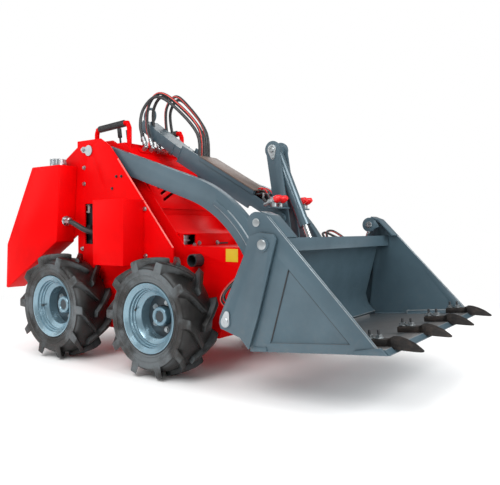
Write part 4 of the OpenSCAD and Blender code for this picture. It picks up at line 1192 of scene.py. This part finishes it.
def makeEdges():
    tower, pads, wornAndLit, shadeLines, lip = (bmesh.new() for k in range(5))
    for side in bothSides:
        # painted highlight: a pale red bead along each tower plate's folded front edge
        edgeInto(tower, at, edgeForm["tower"], edgeForm["towerRadius"], 12, side)
        for outline, depth in edgeForm["pads"]:
            slabInto(pads, inBucket, outline, *[side * y for y in depth])
        # painted shade: dark lines along the diagonal edges of the recesses in the jaw's sides
        for route, radius in edgeForm["shadeLines"]:
            edgeInto(shadeLines, inBucket, [(x, edgeForm["shadeLineY"], z) for x, z in route], radius, 8, side)
        # worn edges with a painted highlight: pale lines along the wear blocks' edges and the jaw's diagonal edges
        for route in edgeForm["block"]:
            edgeInto(wornAndLit, inBucket, route, edgeForm["blockRadius"], 8, side)
        for y in edgeForm["jawY"]:
            route = [(x, y, z) for x, z in edgeForm["jawDiagonal"]]
            edgeInto(wornAndLit, inBucket, route, edgeForm["jawRadius"], 10, side)
    # the same pale lines, worn edge and painted highlight, across the floor's front edges and the lip
    for floor in edgeForm["floor"]:
        edgeInto(wornAndLit, inBucket, acrossBucket(*floor), edgeForm["jawRadius"], 10)
    edgeInto(lip, inBucket, acrossBucket(*edgeForm["lip"]), edgeForm["lipRadius"], 10)
    fitted(tower, "tower_edges", "chassis", "redEdge")
    fitted(pads, "wear_pads", "bucket_jaw", "slatePaint", edge=plateEdge)
    fitted(wornAndLit, "jaw_worn_edges", "bucket_jaw", "wornEdge")
    fitted(shadeLines, "jaw_grooves", "bucket_jaw", "darkPaint")
    fitted(lip, "lip_worn_edge", "bucket", "wornEdge")


# small blocks on the chassis as (x from, x to, z from, z to, y from, y to)
chassisBits = {
    "yellow": (605, 680, 558, 622, -250, -251.2), "slot": (289, 290.8, 635, 645, 87, 172),
    "bay": [(-440, -345, 596, 892, 300, 296), (-440, -436, 596, 892, 300, 331.5),
            (-420, -349, 626, 658, 314, 300), (-426, -357, 706, 746, 322, 300)],
    "meter": (-426, -378, 818, 866, -300, -312), "meterCentre": (-402, -312, 842),
    "meterRing": [(0, 17), (4, 17), (4, 11), (0, 11)],
    "capPlace": (222, -165, 628),
    "cap": [(0, 40), (26, 40), (27, 52), (35, 52), (36, 43), (52, 43), (53, 50), (60, 48)],
}


def blockInto(bm, x0, x1, z0, z1, y0, y1):
    slabInto(bm, at, boxed(x0, x1, z0, z1), y0, y1)


def makeChassisBits():
    plate, bay, panel, ring, cap = (bmesh.new() for k in range(5))
    blockInto(plate, *chassisBits["yellow"])
    fitted(plate, "blank_plate", "chassis", "yellowPlate")
    blockInto(bay, *chassisBits["slot"])
    for side in bothSides:
        for *corners, y0, y1 in chassisBits["bay"]:
            blockInto(bay, *corners, side * y0, side * y1)
    fitted(bay, "engine_bay", "chassis", "darkPaint", edge=plateEdge)
    blockInto(panel, *chassisBits["meter"])
    latheInto(ring, chassisBits["meterRing"], at(*chassisBits["meterCentre"]), Vector((0, -1, 0)))
    fitted(panel, "service_panel", "chassis", "whitePanel", edge=plateEdge)
    fitted(ring, "service_ring", "chassis", "darkPaint")
    latheInto(cap, chassisBits["cap"], at(*chassisBits["capPlace"]), upright, 48)
    fitted(cap, "muffler_cap", "chassis", "zincPlate")


makeTowerBolts()
makeMastLock()
makeCouplers()
makeCouplerLines()
makeBucketHoses()
makeChassisBits()
makeEdges()
print("trim made")


# studio: pale floor, white surroundings and soft lamps as (place, aim, size, power)
studio = {"around": 0.74, "seen": 1.0, "mirrored": 0.30, "floor": 0.97, "floorSize": 40, "fade": (1.5, 3.6),
          "lamps": {"key": ((900, -3600, 3600), (200, 0, 600), 2.4, 112),
                    "fill": ((-3000, -2600, 2400), (0, 0, 600), 3.0, 35),
                    "front": ((4300, -300, 2600), (700, 0, 500), 2.6, 125),
                    "back": ((-1800, 3400, 3200), (0, 0, 900), 3.0, 60)}}


def makeSurroundings():   # plain white to the camera, dimmer in what mirrors it and in its light
    world = bpy.data.worlds.new("studio")
    scene.world = world
    world.use_nodes = True
    tree = world.node_tree
    rays = tree.nodes.new("ShaderNodeLightPath").outputs
    around = studio["around"]
    seen = mathNode(tree, "MULTIPLY", rays["Is Camera Ray"], studio["seen"] - around)
    mirrored = mathNode(tree, "MULTIPLY", rays["Is Glossy Ray"], studio["mirrored"] - around)
    strength = mathNode(tree, "ADD", mathNode(tree, "ADD", seen, mirrored), around)
    fill(tree, tree.nodes["Background"], Color=(1, 1, 1), Strength=strength)


def makeFloor():   # its far part melts into the white
    bm = bmesh.new()
    bmesh.ops.create_grid(bm, x_segments=1, y_segments=1, size=studio["floorSize"])
    floor = addPiece("floor", meshFrom(bm, "floor"))
    material, tree, shader = newMaterial("paleFloor")
    fill(tree, shader, Base_Color=(studio["floor"],) * 3, Roughness=1.0, Specular_IOR_Level=0.0)
    reach = tree.nodes.new("ShaderNodeVectorMath")
    reach.operation = "LENGTH"
    feed(tree, objectCoords(tree), reach.inputs[0])
    far = rangeNode(tree, reach.outputs["Value"], *studio["fade"])
    glow = tree.nodes.new("ShaderNodeEmission")
    rays = tree.nodes.new("ShaderNodeLightPath").outputs
    blendIn = tree.nodes.new("ShaderNodeMixShader")
    share = mathNode(tree, "MULTIPLY", far, rays["Is Camera Ray"])
    for socket, value in zip(blendIn.inputs, (share, shader.outputs[0], glow.outputs[0])):
        feed(tree, value, socket)
    feed(tree, blendIn.outputs[0], tree.nodes["Material Output"].inputs[0])
    floor.data.materials.append(material)


def makeLamps():
    for name, (place, aim, size, power) in studio["lamps"].items():
        data = bpy.data.lights.new(name, "AREA")
        data.size = size
        data.energy = power
        hang(name, data, at(*place), at(*aim) - at(*place))


makeSurroundings()
makeFloor()
makeLamps()
scene.view_settings.view_transform = "Standard"
print("studio lit")
